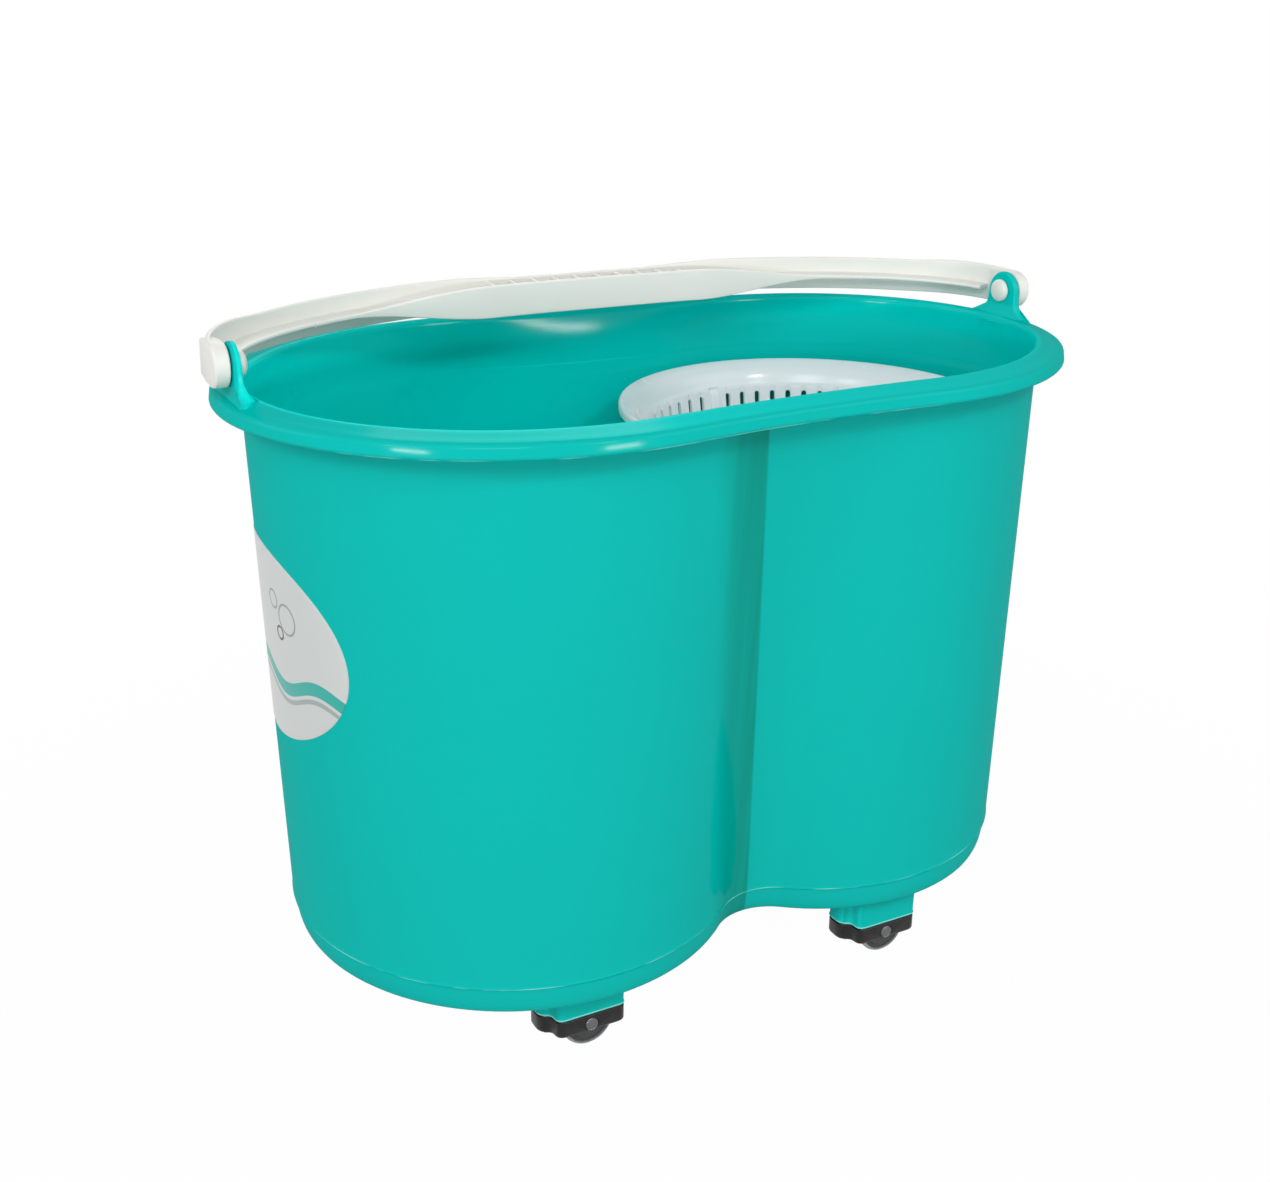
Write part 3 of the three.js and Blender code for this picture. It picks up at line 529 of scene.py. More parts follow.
def wheel_plastic():
    # Hard polypropylene wheel: dark faces, and a tread rubbed to a lighter grey.
    material, tree, shader = new_material("wheel_plastic_worn", IOR=1.49)
    wear = add_node(tree, "ShaderNodeAttribute", attribute_name="wear")
    where = add_node(tree, "ShaderNodeTexCoord")
    grit = add_node(tree, "ShaderNodeTexNoise", {
        "Vector": where.outputs["Object"], "Scale": 1 / (1.5 * MM), "Detail": 6.0})
    worn = add_node(tree, "ShaderNodeMath", {0: wear.outputs["Fac"], 1: grit.outputs["Fac"]},
                    operation="MULTIPLY")
    share = add_node(tree, "ShaderNodeMapRange", {"Value": worn.outputs[0], "From Max": 0.55})
    tint = add_node(tree, "ShaderNodeMix", {
        "Factor": share.outputs["Result"], "A": linear("303031"), "B": linear("A3A5A4")},
        data_type="RGBA")
    tree.links.new(tint.outputs["Result"], shader.inputs["Base Color"])
    gloss = add_node(tree, "ShaderNodeMapRange", {
        "Value": grit.outputs["Fac"], "To Min": 0.4, "To Max": 0.65})
    tree.links.new(gloss.outputs["Result"], shader.inputs["Roughness"])
    return material


def zinc_steel():
    # Zinc-plated steel, dulled to a dark grey, with a fine crystalline unevenness in its gloss.
    material, tree, shader = new_material(
        "steel_zinc_plated", Base_Color=linear("68696C"), Metallic=1.0)
    where = add_node(tree, "ShaderNodeTexCoord")
    crystal = add_node(tree, "ShaderNodeTexVoronoi", {
        "Vector": where.outputs["Object"], "Scale": 1 / (0.8 * MM)})
    gloss = add_node(tree, "ShaderNodeMapRange", {
        "Value": crystal.outputs["Distance"], "To Min": 0.22, "To Max": 0.42})
    tree.links.new(gloss.outputs["Result"], shader.inputs["Roughness"])
    return material


def seal_rubber():
    # Nitrile rubber: dull black with a slight bloom.
    material, tree, shader = new_material("rubber_nitrile", Roughness=0.7)
    where = add_node(tree, "ShaderNodeTexCoord")
    bloom = add_node(tree, "ShaderNodeTexNoise", {
        "Vector": where.outputs["Object"], "Scale": 1 / (2 * MM)})
    tint = add_node(tree, "ShaderNodeMix", {
        "Factor": bloom.outputs["Fac"], "A": linear("161616"), "B": linear("2A2A29")},
        data_type="RGBA")
    tree.links.new(tint.outputs["Result"], shader.inputs["Base Color"])
    return material


MATERIALS = {}


def material_for(slot):
    """The one material that stands for a slot of the record."""
    makers = {
        "teal_plastic": teal_polypropylene, "white_plastic": white_polypropylene,
        "basket_plastic": basket_polypropylene, "black_plastic": black_nylon,
        "wheel_plastic": wheel_plastic, "zinc_steel": zinc_steel, "seal_rubber": seal_rubber,
        "label_film": label_film,
    }
    if slot not in MATERIALS:
        MATERIALS[slot] = makers[slot]()
    return MATERIALS[slot]


# ---------------------------------------------------------------- bucket
def wall_shape(height):
    """Sizes of the wall's outline at a height in millimetres."""
    return {key: lerp(BASE[key], TOP[key], height / HEIGHT) for key in TOP}


def waist_arc(size, left_x, right_x):
    """Centre and radius of the arc that joins the lobes on the +Y side of an unstretched outline."""
    waist = size["waist"]
    left_share = 1 / (2 * (size["left"] - waist))
    right_share = 1 / (2 * (size["right"] - waist))
    a = left_share - right_share
    b = 2 * (left_share * left_x + right_share * right_x)
    c = (left_share * (left_x ** 2 - size["left"] ** 2 + waist ** 2)
         - right_share * (right_x ** 2 - size["right"] ** 2 + waist ** 2))
    x = -2 * c / (b + math.sqrt(b * b - 4 * a * c))
    radius = left_share * ((x + left_x) ** 2 - size["left"] ** 2 + waist ** 2)
    return x, waist + radius, radius


def bucket_outline(height, offset):
    """The figure-of-eight outline at a height, moved outwards by offset, all in millimetres."""
    size = wall_shape(height)
    left_x, right_x = [size["length"] / size["stretch"] - size[key] for key in ("left", "right")]
    x, y, radius = waist_arc(size, left_x, right_x)
    right_end = math.atan2(y, x - right_x)
    left_end = math.atan2(y, x + left_x)
    first = math.atan2(-y, right_x - x)
    last = math.atan2(-y, -left_x - x)
    lobe = np.arange(LOBE_POINTS) / LOBE_POINTS
    waist = np.arange(WAIST_POINTS) / WAIST_POINTS
    arcs = (
        (right_x, 0, size["right"], lerp(-right_end, right_end, lobe)),
        (x, y, radius, lerp(first, last, waist)),
        (-left_x, 0, size["left"], lerp(left_end, math.tau - left_end, lobe)),
        (x, -y, radius, lerp(-last, -first, waist)),
    )
    outline = np.concatenate([
        np.stack([size["stretch"] * (cx + r * np.cos(a)), cy + r * np.sin(a)], axis=1)
        for cx, cy, r, a in arcs])
    run = np.roll(outline, -1, axis=0) - np.roll(outline, 1, axis=0)
    out = np.stack([run[:, 1], -run[:, 0]], axis=1) / np.linalg.norm(run, axis=1)[:, None]
    flat = outline + offset * out
    return np.column_stack([flat, np.full(len(flat), UNDERSIDE + height)])


def skirt_profile(floor, offset):
    """The rounded band at the foot of the wall: [height, offset] from the floor up."""
    turns = np.radians(np.linspace(0, 90, 12))
    return [(lerp(SKIRT_HEIGHT, floor, math.cos(a)), offset - SKIRT_INSET * (1 - math.sin(a)))
            for a in turns]


def rim_profile(sizes):
    """The hollow rolled rim, from the wall's outside over the top to its inside."""
    reach = sizes.rim_reach / MM
    depth = sizes.rim_depth / MM
    skin_in = reach - 2.3
    return [
        (HEIGHT - 12, 0), (HEIGHT - 5.6, 0.1), (HEIGHT - 4.2, 0.6), (HEIGHT - 3.4, 2.2),
        (HEIGHT - 3.5, 4.6), (HEIGHT - 4.3, 7.6), (HEIGHT - 5.6, skin_in - 1.5),
        (HEIGHT - 7.4, skin_in - 0.3), (HEIGHT - depth + 0.6, skin_in),
        (HEIGHT - depth, skin_in + 0.5), (HEIGHT - depth - 0.1, reach - 1.1),
        (HEIGHT - depth + 0.15, reach - 0.6), (HEIGHT - depth + 0.9, reach - 0.1),
        (HEIGHT - 8.4, reach), (HEIGHT - 8.1, reach - 0.045), (HEIGHT - 4.5, reach - 0.63),
        (HEIGHT - 4.1, reach - 0.75), (HEIGHT - 3.3, reach - 1.3), (HEIGHT - 2.75, reach - 2.3),
        (HEIGHT - 2.3, reach - 3.8), (HEIGHT - 1.8, reach - 6.2), (HEIGHT - 1.2, reach - 8.7),
        (HEIGHT - 0.65, reach - 10.9),
        (HEIGHT - 0.2, reach - 12.7), (HEIGHT, reach - 13.7), (HEIGHT - 0.05, -0.5),
        (HEIGHT - 0.4, -1.3), (HEIGHT - 1.1, -1.95), (HEIGHT - 2.2, -2.3),
        (HEIGHT - 4, -sizes.wall / MM),
    ]


def bucket_body(sizes):
    """The wall with its skirt, floor and rim: a skin up the outside and down the inside."""
    wall = sizes.wall / MM
    line = HEIGHT - sizes.step_line / MM
    outside = skirt_profile(0, -SKIRT_PROUD)
    outside += [(SKIRT_HEIGHT + rise, reach) for rise, reach in SKIRT_BEAD]
    outside += [(height, 0) for height in np.linspace(SKIRT_HEIGHT + 6, HEIGHT - 18, 22)]
    below = -wall - 0.16
    inside = [(line + 12, -wall), (line + 0.5, -wall), (line, -wall - 0.07), (line - 0.5, below)]
    inside += [(height, below) for height in np.linspace(line - 8, SKIRT_HEIGHT + 4, 22)]
    inside += skirt_profile(FLOOR, -wall - SKIRT_PROUD)[::-1]
    levels = outside + rim_profile(sizes) + inside
    return skin("bucket", [bucket_outline(height, offset) for height, offset in levels])


def rim_drop(y, lobe):
    """How far the rim falls back from its tip, at y along the end of a lobe."""
    half = TOP[lobe]
    return TOP["stretch"] * (half - math.sqrt(half * half - y * y))


def ear_outline():
    """The ear seen along X, as (y, height above the rim top)."""
    head = PIVOT_HEIGHT - 0.6
    neck = EAR_RADIUS + 0.5
    foot = [(-23.0, -4.6), (-23.0, -2.2)]
    start, bend, end = np.array([(-22.5, -1.7), (-neck - 1.6, -0.7), (-neck, 7.0)])
    for t in np.linspace(0, 1, 12):
        foot.append(tuple((1 - t) ** 2 * start + 2 * t * (1 - t) * bend + t * t * end))
    left = foot + arc((0, head), EAR_RADIUS, 180, 90, 16)
    return left + [(-y, z) for y, z in left[::-1][1:]]


def ear(side):
    """One rim ear: a round head whose foot flares into the rim on every side."""
    outline = ear_outline()
    centre = np.array([0.0, PIVOT_HEIGHT - 2.0])
    lobe = "right" if side > 0 else "left"
    edge = 0.9

    def face_ring(face, outwards, share, raised):
        """A ring of one face: flared at its foot, thinner at its head, and bent along the rim."""
        rim_level = -0.6 if outwards < 0 else -2.0
        ring = []
        for corner in outline:
            y, z = centre + share * (np.array(corner) - centre)
            flare = min(2.7 * max(0.0, 1 - (z - rim_level) / 9) ** 2, 4.4)
            taper = 0.45 * smooth_step(z, 6, 24)
            drop = rim_drop(y, lobe) * (1 - smooth_step(z, -1, 8))
            x = face + outwards * (flare + raised - taper) - drop
            ring.append((side * x, y, HEIGHT + UNDERSIDE + z))
        return ring

    low, high = EAR_FACES
    rims = [(0.95, -0.08), (0.98, -0.4 * edge), (1.0, -edge)]
    shares = np.linspace(0.1, 0.9, 10)
    rings = [face_ring(low, -1, share, 0) for share in shares]
    rings += [face_ring(low, -1, share, raised) for share, raised in rims]
    rings += [face_ring(high, 1, share, raised) for share, raised in rims[::-1]]
    rings += [face_ring(high, 1, share, 0) for share in shares[::-1]]
    return skin("ear", rings)


def pod_outline(inset, cut=0.0):
    """Plan of a castor pod: a nose towards -Y and a wider body behind it, cut back on its right."""
    nose = POD["nose_half"] - inset
    body = POD["body_half"] - inset
    front = inset - POD["nose"]
    step = POD["step"] + inset * 0.4
    back = POD["back"] - inset
    shoulder = 0.4 + (HOUSING_CUT - cut) * 0.7
    return rounded_outline([
        (-nose, front, 4.5), (nose, front, 3.5), (nose, step - 1, 1.5),
        (body - cut, step + 1.5, shoulder), (body - cut, back, 3), (-body, back, 4.5),
        (-body, step + 0.5, 4.8), (-nose, step - 1, 3.8)])


def pod_stack(name, levels, surface=None, cut=0.0):
    """A pod-shaped body through (height, inset) levels, in millimetres above the floor."""
    rings = []
    for height, inset in levels:
        plan = pod_outline(inset, cut)
        rings.append(np.column_stack([plan, np.full(len(plan), height)]))
    return skin(name, rings, surface)


def corner_turn(corner):
    """A pod's turn about Z: its nose points away from the bucket's middle."""
    return 0.0 if corner.startswith("front") else math.pi


def post_profile(shrink, top, foot):
    """The cone that lifts the basket clear of the water, or its hollow where shrink is the wall."""
    return [(45 - shrink, foot), (41.5 - shrink, 4), (39.5 - shrink, 7), (38.2 - shrink, 12),
            (34.9 - shrink, 40), (29.2 - shrink, 80), (23 - shrink, 118), (20 - shrink, top - 6),
            (19 - shrink, top - 2.4), (17.6 - shrink, top - 0.5), (16.4 - shrink, top)]


def build_bucket(sizes):
    """The bucket moulding: the wall, two ears, the post and four pods, all hollow, in one piece."""
    body = bucket_body(sizes)
    post_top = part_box("spindle_nut")[0].z / MM - UNDERSIDE - NUT_GAP
    added = [ear(1), ear(-1)]
    post = turned("post", post_profile(0, post_top, 1.0), segments=96)
    added.append(place(post, BASKET_X, 0, UNDERSIDE * MM))
    hollow = turned("post_hollow", post_profile(POST_WALL, post_top - 4, -1.0), segments=96)
    bore = turned("spindle_bore", [(SPINDLE_BORE, 100), (SPINDLE_BORE, post_top + 5)], segments=48)
    removed = [place(tool, BASKET_X, 0, UNDERSIDE * MM) for tool in (hollow, bore)]
    for corner, centre in WHEEL_CENTRES.items():
        turn = corner_turn(corner)
        pod = pod_stack("pod", [
            (20, 1.0), (20, 0.5), (20.3, 0.1), (20.9, -0.25), (21.6, -0.1), (22.2, 0.1), (30, 0),
            (UNDERSIDE - 3, -0.2), (UNDERSIDE - 1, -0.9), (UNDERSIDE + 0.4, -2.2),
            (UNDERSIDE + 2, -2.6)])
        added.append(place(pod, centre.x, centre.y, 0, turn))
        well = pod_stack("pod_well", [(18, 2.5), (UNDERSIDE - 1.6, 2.5)])
        removed.append(place(well, centre.x, centre.y, 0, turn))
    combine(body, added, "UNION")
    low, high = EAR_FACES
    for side in (1, -1):
        ends = [(PIN_RADIUS + 0.3, side * reach) for reach in (low - 6, high + 6)]
        hole = turned("pin_hole", ends, segments=48, axis="X")
        removed.append(place(hole, 0, 0, PIVOT_Z))
    combine(body, removed, "DIFFERENCE")
    finish_surface(body, material_for("teal_plastic"))
    deliver(body, "bucket", "teal_plastic", "bucket_shell")


# ---------------------------------------------------------------- label
def label_film():
    # Printed vinyl film: satin off-white, with a plain teal and grey wave and a few grey rings.
    surface, tree, shader = new_material("vinyl_film_white", Roughness=0.35)
    where = add_node(tree, "ShaderNodeTexCoord")
    split = add_node(tree, "ShaderNodeSeparateXYZ", {"Vector": where.outputs["Object"]})
    colour = linear("C9CDCB")
    swing = add_node(tree, "ShaderNodeMath", {
        0: split.outputs["Y"], 1: 1 / (WAVE["length"] * MM)}, operation="MULTIPLY")
    wave = add_node(tree, "ShaderNodeMath", {0: swing.outputs[0]}, operation="SINE")
    crest = add_node(tree, "ShaderNodeMath", {
        0: wave.outputs[0], 1: WAVE["swing"] * MM, 2: WAVE["level"] * MM}, operation="MULTIPLY_ADD")
    above = add_node(tree, "ShaderNodeMath", {0: split.outputs["Z"], 1: crest.outputs[0]},
                     operation="SUBTRACT")
    for low, high, code in ((-7 * MM, 0.0, "1FA79C"), (-11.5 * MM, -9 * MM, "9BA6A5")):
        over = add_node(tree, "ShaderNodeMath", {0: above.outputs[0], 1: low},
                        operation="GREATER_THAN")
        under = add_node(tree, "ShaderNodeMath", {0: above.outputs[0], 1: high},
                         operation="LESS_THAN")
        inside = add_node(tree, "ShaderNodeMath", {0: over.outputs[0], 1: under.outputs[0]},
                          operation="MULTIPLY")
        mix = add_node(tree, "ShaderNodeMix", {
            "Factor": inside.outputs[0], "A": colour, "B": linear(code)}, data_type="RGBA")
        colour = mix.outputs["Result"]
    rings = ((-22, 226, 7.5, "8F9898"), (-9, 233, 4.5, "8F9898"), (-14, 217, 3.2, "3C4444"))
    for y, z, radius, code in rings:
        gap = add_node(tree, "ShaderNodeVectorMath", {
            0: where.outputs["Object"], 1: (0, y * MM, z * MM)}, operation="SUBTRACT")
        flat = add_node(tree, "ShaderNodeVectorMath", {0: gap.outputs[0], 1: (0, 1, 1)},
                        operation="MULTIPLY")
        far = add_node(tree, "ShaderNodeVectorMath", {0: flat.outputs[0]}, operation="LENGTH")
        ring = add_node(tree, "ShaderNodeMath", {
            0: far.outputs["Value"], 1: radius * MM, 2: 0.6 * MM}, operation="COMPARE")
        mix = add_node(tree, "ShaderNodeMix", {
            "Factor": ring.outputs[0], "A": colour, "B": linear(code)}, data_type="RGBA")
        colour = mix.outputs["Result"]
    tree.links.new(colour, shader.inputs["Base Color"])
    return surface


def wall_point(along, height, offset):
    """A point outside the left lobe, from its distance round the wall and its height."""
    size = wall_shape(height)
    half, stretch = size["left"], size["stretch"]
    turns = np.linspace(0, along / half, 33)
    steps = half * np.hypot(np.cos(turns), stretch * np.sin(turns))
    length = np.concatenate([[0], np.cumsum((steps[1:] + steps[:-1]) / 2 * np.diff(turns))])
    angle = turns[-1] * along / length[-1] if length[-1] else 0.0
    normal = np.array([-math.cos(angle) / stretch, math.sin(angle)])
    normal /= np.linalg.norm(normal)
    x = -(size["length"] - stretch * half) - stretch * half * math.cos(angle)
    y = half * math.sin(angle)
    return x + offset * normal[0], y + offset * normal[1], UNDERSIDE + height


def build_label():
    """The oval label: a thin film that follows the left lobe's wall."""
    rings = []
    shares = np.linspace(0.02, 1, 20)
    film = [(share, 0.28) for share in shares] + [(1.003, 0.2), (1.003, -0.05)]
    film += [(share, -0.05) for share in shares[::-1]]
    angles = np.linspace(0, 2 * math.pi, 97)[:-1]
    for share, offset in film:
        rings.append([wall_point(
            LABEL["along"] + LABEL["half_length"] * share * math.cos(a),
            LABEL["level"] + LABEL["half_height"] * share * math.sin(a), offset) for a in angles])
    label = skin("label", rings, material_for("label_film"))
    deliver(label, "bucket", "white_plastic")


# ---------------------------------------------------------------- handle
def arch_point(angle, inset):
    """A point of the arm's quarter ellipse, moved inwards by inset."""
    across = HANDLE["span"] - HANDLE["grip"] - inset
    deep = HANDLE["depth"] - inset
    return HANDLE["grip"] + across * math.cos(angle), deep * math.sin(angle)


def arch_line(inset, start=0.0, steps=90):
    """The bail's line from the right end over the grip to the left end."""
    half = [arch_point(lerp(start, math.pi / 2, i / steps), inset) for i in range(steps + 1)]
    flat = [(lerp(HANDLE["grip"], -HANDLE["grip"], k / 30), HANDLE["depth"] - inset)
            for k in range(1, 30)]
    return np.array(half + flat + [(-x, y) for x, y in half[::-1]])


def band_reach(x, side):
    """How far the band stands above or below the handle's plane at x."""
    to_arm = smooth_step(abs(x), HANDLE["grip"], HANDLE["grip"] + 60)
    to_boss = smooth_step(abs(x), HANDLE["span"] - 41, HANDLE["span"] - 10)
    return lerp(lerp(BAND["grip"], BAND[side], to_arm), BOSS["radius"], to_boss)


def grip_share(x):
    """How much of the grip's full section is reached at x: 1 over the grip, 0 on the arms."""
    return 1 - smooth_step(abs(x), FLANGE["full"], FLANGE["end"])


def web_inset(x, extra=0.0):
    """How far the web reaches in from the band at x."""
    return lerp(WEB["arm"], WEB["grip"], grip_share(x)) + extra


def inner_line(line, extra=0.0):
    """The web's inner edge, from the line of its outer one."""
    run = np.gradient(line, axis=0)
    run /= np.linalg.norm(run, axis=1)[:, None]
    inset = np.array([web_inset(x, extra) for x, _ in line])[:, None]
    return line + inset * np.stack([-run[:, 1], run[:, 0]], axis=1)


def strip(name, outer, inner, edges, radius):
    """A bar of rounded rectangular section between two lines of the handle's plane."""
    rings = []
    for start, end in zip(outer, inner):
        low, high = edges(start[0])
        thick = np.linalg.norm(end - start)
        along = (end - start) / thick
        bend = min(radius, 0.45 * thick, 0.45 * (high - low))
        section = (arc((bend, low + bend), bend, 270, 180, 4)
                   + arc((bend, high - bend), bend, 180, 90, 4)
                   + arc((thick - bend, high - bend), bend, 90, 0, 4)
                   + arc((thick - bend, low + bend), bend, 360, 270, 4))
        rings.append([(*(start + along * s), z) for s, z in section])
    return skin(name, rings)


def to_handle(piece):
    """Lays a piece made in the handle's plane down at its folded angle."""
    tilt = Matrix.Rotation(math.radians(HANDLE["tilt"]), 4, "X")
    piece.data.transform(Matrix.Translation((0, 0, PIVOT_Z)) @ tilt)
    return piece


def boss(side):
    """The thick rounded end of the bail, bored for its pin."""
    radius = BOSS["radius"]
    side_half = radius - 0.2
    outline = [(18.0, -8.6), (8.0, -side_half)] + arc((0, 0), radius, 268, 92, 30)
    outline += [(8.0, side_half), (18.0, 8.6)]
    outer = HANDLE["span"]
    inner = outer - BOSS["thickness"]
    levels = [(inner, 0.9), (inner + 0.25, 0.96), (inner + 0.8, 1.0), (outer - 1.1, 1.0),
              (outer - 0.35, 0.96), (outer, 0.9)]
    rings = []
    for x, share in levels:
        rings.append([(side * x, 4 + (y - 4) * share, z * share) for y, z in outline])
    return skin("boss", rings)


def new_tree(name, inputs):
    """A geometry node tree that takes and gives geometry, with more inputs by name and kind."""
    tree = bpy.data.node_groups.new(name, "GeometryNodeTree")
    tree.interface.new_socket("Geometry", in_out="OUTPUT", socket_type="NodeSocketGeometry")
    for label, kind in (("Geometry", "Geometry"), *inputs, ("Surface", "Material")):
        tree.interface.new_socket(label, in_out="INPUT", socket_type="NodeSocket" + kind)
    return tree, add_node(tree, "NodeGroupInput")


def end_tree(tree, given, geometry):
    """Ends a tree in real geometry of one material."""
    real = add_node(tree, "GeometryNodeRealizeInstances", {"Geometry": geometry})
    dressed = add_node(tree, "GeometryNodeSetMaterial", {
        "Geometry": real.outputs["Geometry"], "Material": given.outputs["Surface"]})
    add_node(tree, "NodeGroupOutput", {"Geometry": dressed.outputs["Geometry"]})
    return tree


def rib_row_tree():
    """Geometry nodes: copies of one piece in a row along X, with its middle at the origin."""
    tree, given = new_tree("rib_row", (("Count", "Int"), ("Pitch", "Float")))
    last = add_node(tree, "ShaderNodeMath", {0: given.outputs["Count"], 1: 1.0},
                    operation="SUBTRACT")
    half = add_node(tree, "ShaderNodeMath", {0: last.outputs[0], 1: -0.5}, operation="MULTIPLY")
    start = add_node(tree, "ShaderNodeMath", {0: half.outputs[0], 1: given.outputs["Pitch"]},
                     operation="MULTIPLY")
    first = add_node(tree, "ShaderNodeCombineXYZ", {"X": start.outputs[0]})
    step = add_node(tree, "ShaderNodeCombineXYZ", {"X": given.outputs["Pitch"]})
    row = add_node(tree, "GeometryNodeMeshLine", {
        "Count": given.outputs["Count"], "Start Location": first.outputs[0],
        "Offset": step.outputs[0]})
    copies = add_node(tree, "GeometryNodeInstanceOnPoints", {
        "Points": row.outputs["Mesh"], "Instance": given.outputs["Geometry"]})
    return end_tree(tree, given, copies.outputs["Instances"])


def run_tree(piece, tree, values):
    """Runs a geometry node tree on a piece with its inputs set by name, and bakes the result."""
    modifier = piece.modifiers.new(tree.name, "NODES")
    modifier.node_group = tree
    sockets = {item.name: item.identifier for item in tree.interface.items_tree
               if item.in_out == "INPUT"}
    for name, value in values.items():
        modifier[sockets[name]] = value
    bpy.context.view_layer.update()
    bake(piece)
    return piece


def grip_ribs(settings):
    """The row of short ribs across the inside of the grip."""
    outer = HANDLE["depth"] - HANDLE["band"] + 0.5
    inner = HANDLE["depth"] - WEB["grip"] - 1.5
    high = BAND["grip"] - 1.0
    levels = [(-high, 0.9), (high - 0.7, 0.9), (high, 0.45)]
    rib = skin("grip_ribs", [
        [(-half, inner, z), (half, inner, z), (half, outer, z), (-half, outer, z)]
        for z, half in levels])
    return run_tree(rib, rib_row_tree(), {
        "Count": settings.ribs, "Pitch": settings.rib_pitch, "Surface": material_for("white_plastic")})


def build_handle(settings):
    """The bail: a band with a web inside it, a flanged and ribbed grip, and a boss at each end."""
    band = strip("handle", arch_line(0), arch_line(HANDLE["band"]),
                 lambda x: (-band_reach(x, "below"), band_reach(x, "above")), 1.1)
    web_line = arch_line(HANDLE["band"] - 0.6, 0.2)
    half = WEB["thickness"] / 2
    web = strip("web", web_line, inner_line(web_line),
                lambda x: (WEB["offset"] - half, WEB["offset"] + half), 0.9)
    flange_line = arch_line(HANDLE["band"] - 0.6, 0.8)

    def flange_edges(x):
        return (lerp(WEB["offset"] - half - 0.1, FLANGE["low"], grip_share(x)),
                lerp(WEB["offset"] + half + 0.1, FLANGE["high"], grip_share(x)))

    flange = strip("flange", inner_line(flange_line, -2), inner_line(flange_line, 0.6),
                   flange_edges, 0.9)
    tools = [web, flange, grip_ribs(settings), boss(1), boss(-1)]
    combine(band, tools, "UNION")
    inner = HANDLE["span"] - BOSS["thickness"]
    bores = []
    for side in (1, -1):
        ends = [(BOSS["bore"], side * reach) for reach in (inner - 4, inner + 6.6)]
        bores.append(turned("bore", ends, segments=48, axis="X"))
    combine(band, bores, "DIFFERENCE")
    to_handle(band)
    finish_surface(band, material_for("white_plastic"), 32)
    deliver(band, "handle", "white_plastic", "handle_bail")
    for side, name in ((1, "handle_pin_right"), (-1, "handle_pin_left")):
        build_pin(side, name)


def build_pin(side, name):
    """A domed pivot pin whose head sits inside its ear."""
    face = EAR_FACES[0] - 0.3
    radius, height = PIN_HEAD["radius"], PIN_HEAD["height"]
    edge = 1.3
    profile = []
    for a in np.radians(np.linspace(3, 80, 16)):
        profile.append((radius * math.sin(a) / math.sin(math.radians(80)),
                        face - edge - (height - edge) * math.cos(a)))
    tail = EAR_FACES[1] + 0.15
    profile += [(radius, face - 0.3), (radius - 0.3, face), (PIN_RADIUS, face), (PIN_RADIUS, tail),
                (PIN_TAIL["radius"], tail), (PIN_TAIL["radius"], tail + PIN_TAIL["length"])]
    pin = turned(name, [(r, side * x) for r, x in profile], material_for("white_plastic"), axis="X")
    deliver(place(pin, 0, 0, PIVOT_Z), "handle", "white_plastic", name)


# ---------------------------------------------------------------- basket
def basket_profile(sizes):
    """Closed [radius, height] section of the basket, heights above the floor."""
    top = BASKET_HIGH.z / MM
    floor = top - sizes.depth / MM
    rim = sizes.radius / MM
    inside = [
        (rim - 0.1, top - 4.9), (rim, top - 3.6), (rim, top - 1.4), (rim - 0.4, top - 0.5),
        (rim - 1.1, top), (rim - 1.9, top - 0.15), (rim - 3.2, top - 0.8), (rim - 5.2, top - 2.1),
        (rim - 7.4, top - 4.2), (rim - 9.4, top - 6.9), (rim - 10.9, top - 9.8),
        (rim - 11.8, top - 12.2), (rim - 12.4, top - 13.3), (rim - 13.4, top - 13.9),
        (rim - 14.3, top - 14.4), (rim - 14.8, top - 16), (rim - 15.4, top - 22),
        (rim - 18.6, top - 46), (rim - 20.9, top - 66), (rim - 22.5, floor + 11),
        (rim - 23.3, floor + 6), (rim - 25.3, floor + 2.4),
        (rim - 28.1, floor + 0.6), (rim - 31.5, floor), (60, floor), (40, floor), (15.4, floor),
    ]
    skin_thick = 2.3
    outside = [
        (15.4, floor - skin_thick), (60, floor - skin_thick), (rim - 30.5, floor - skin_thick),
        (rim - 26.1, floor - 1.6), (rim - 22.9, floor + 1), (rim - 20.9, floor + 4.5),
        (rim - 20.1, floor + 9), (rim - 16.3, top - 46), (rim - 12.9, top - 19),
        (rim - 11.9, top - 15.6), (rim - 10.1, top - 12.6), (rim - 8.3, top - 9.6),
        (rim - 5.9, top - 6.6), (rim - 3.9, top - 4.8), (rim - 2, top - 3.6), (rim - 2, top - 5),
        (rim - 0.6, top - 5.1),
    ]
    return inside + outside


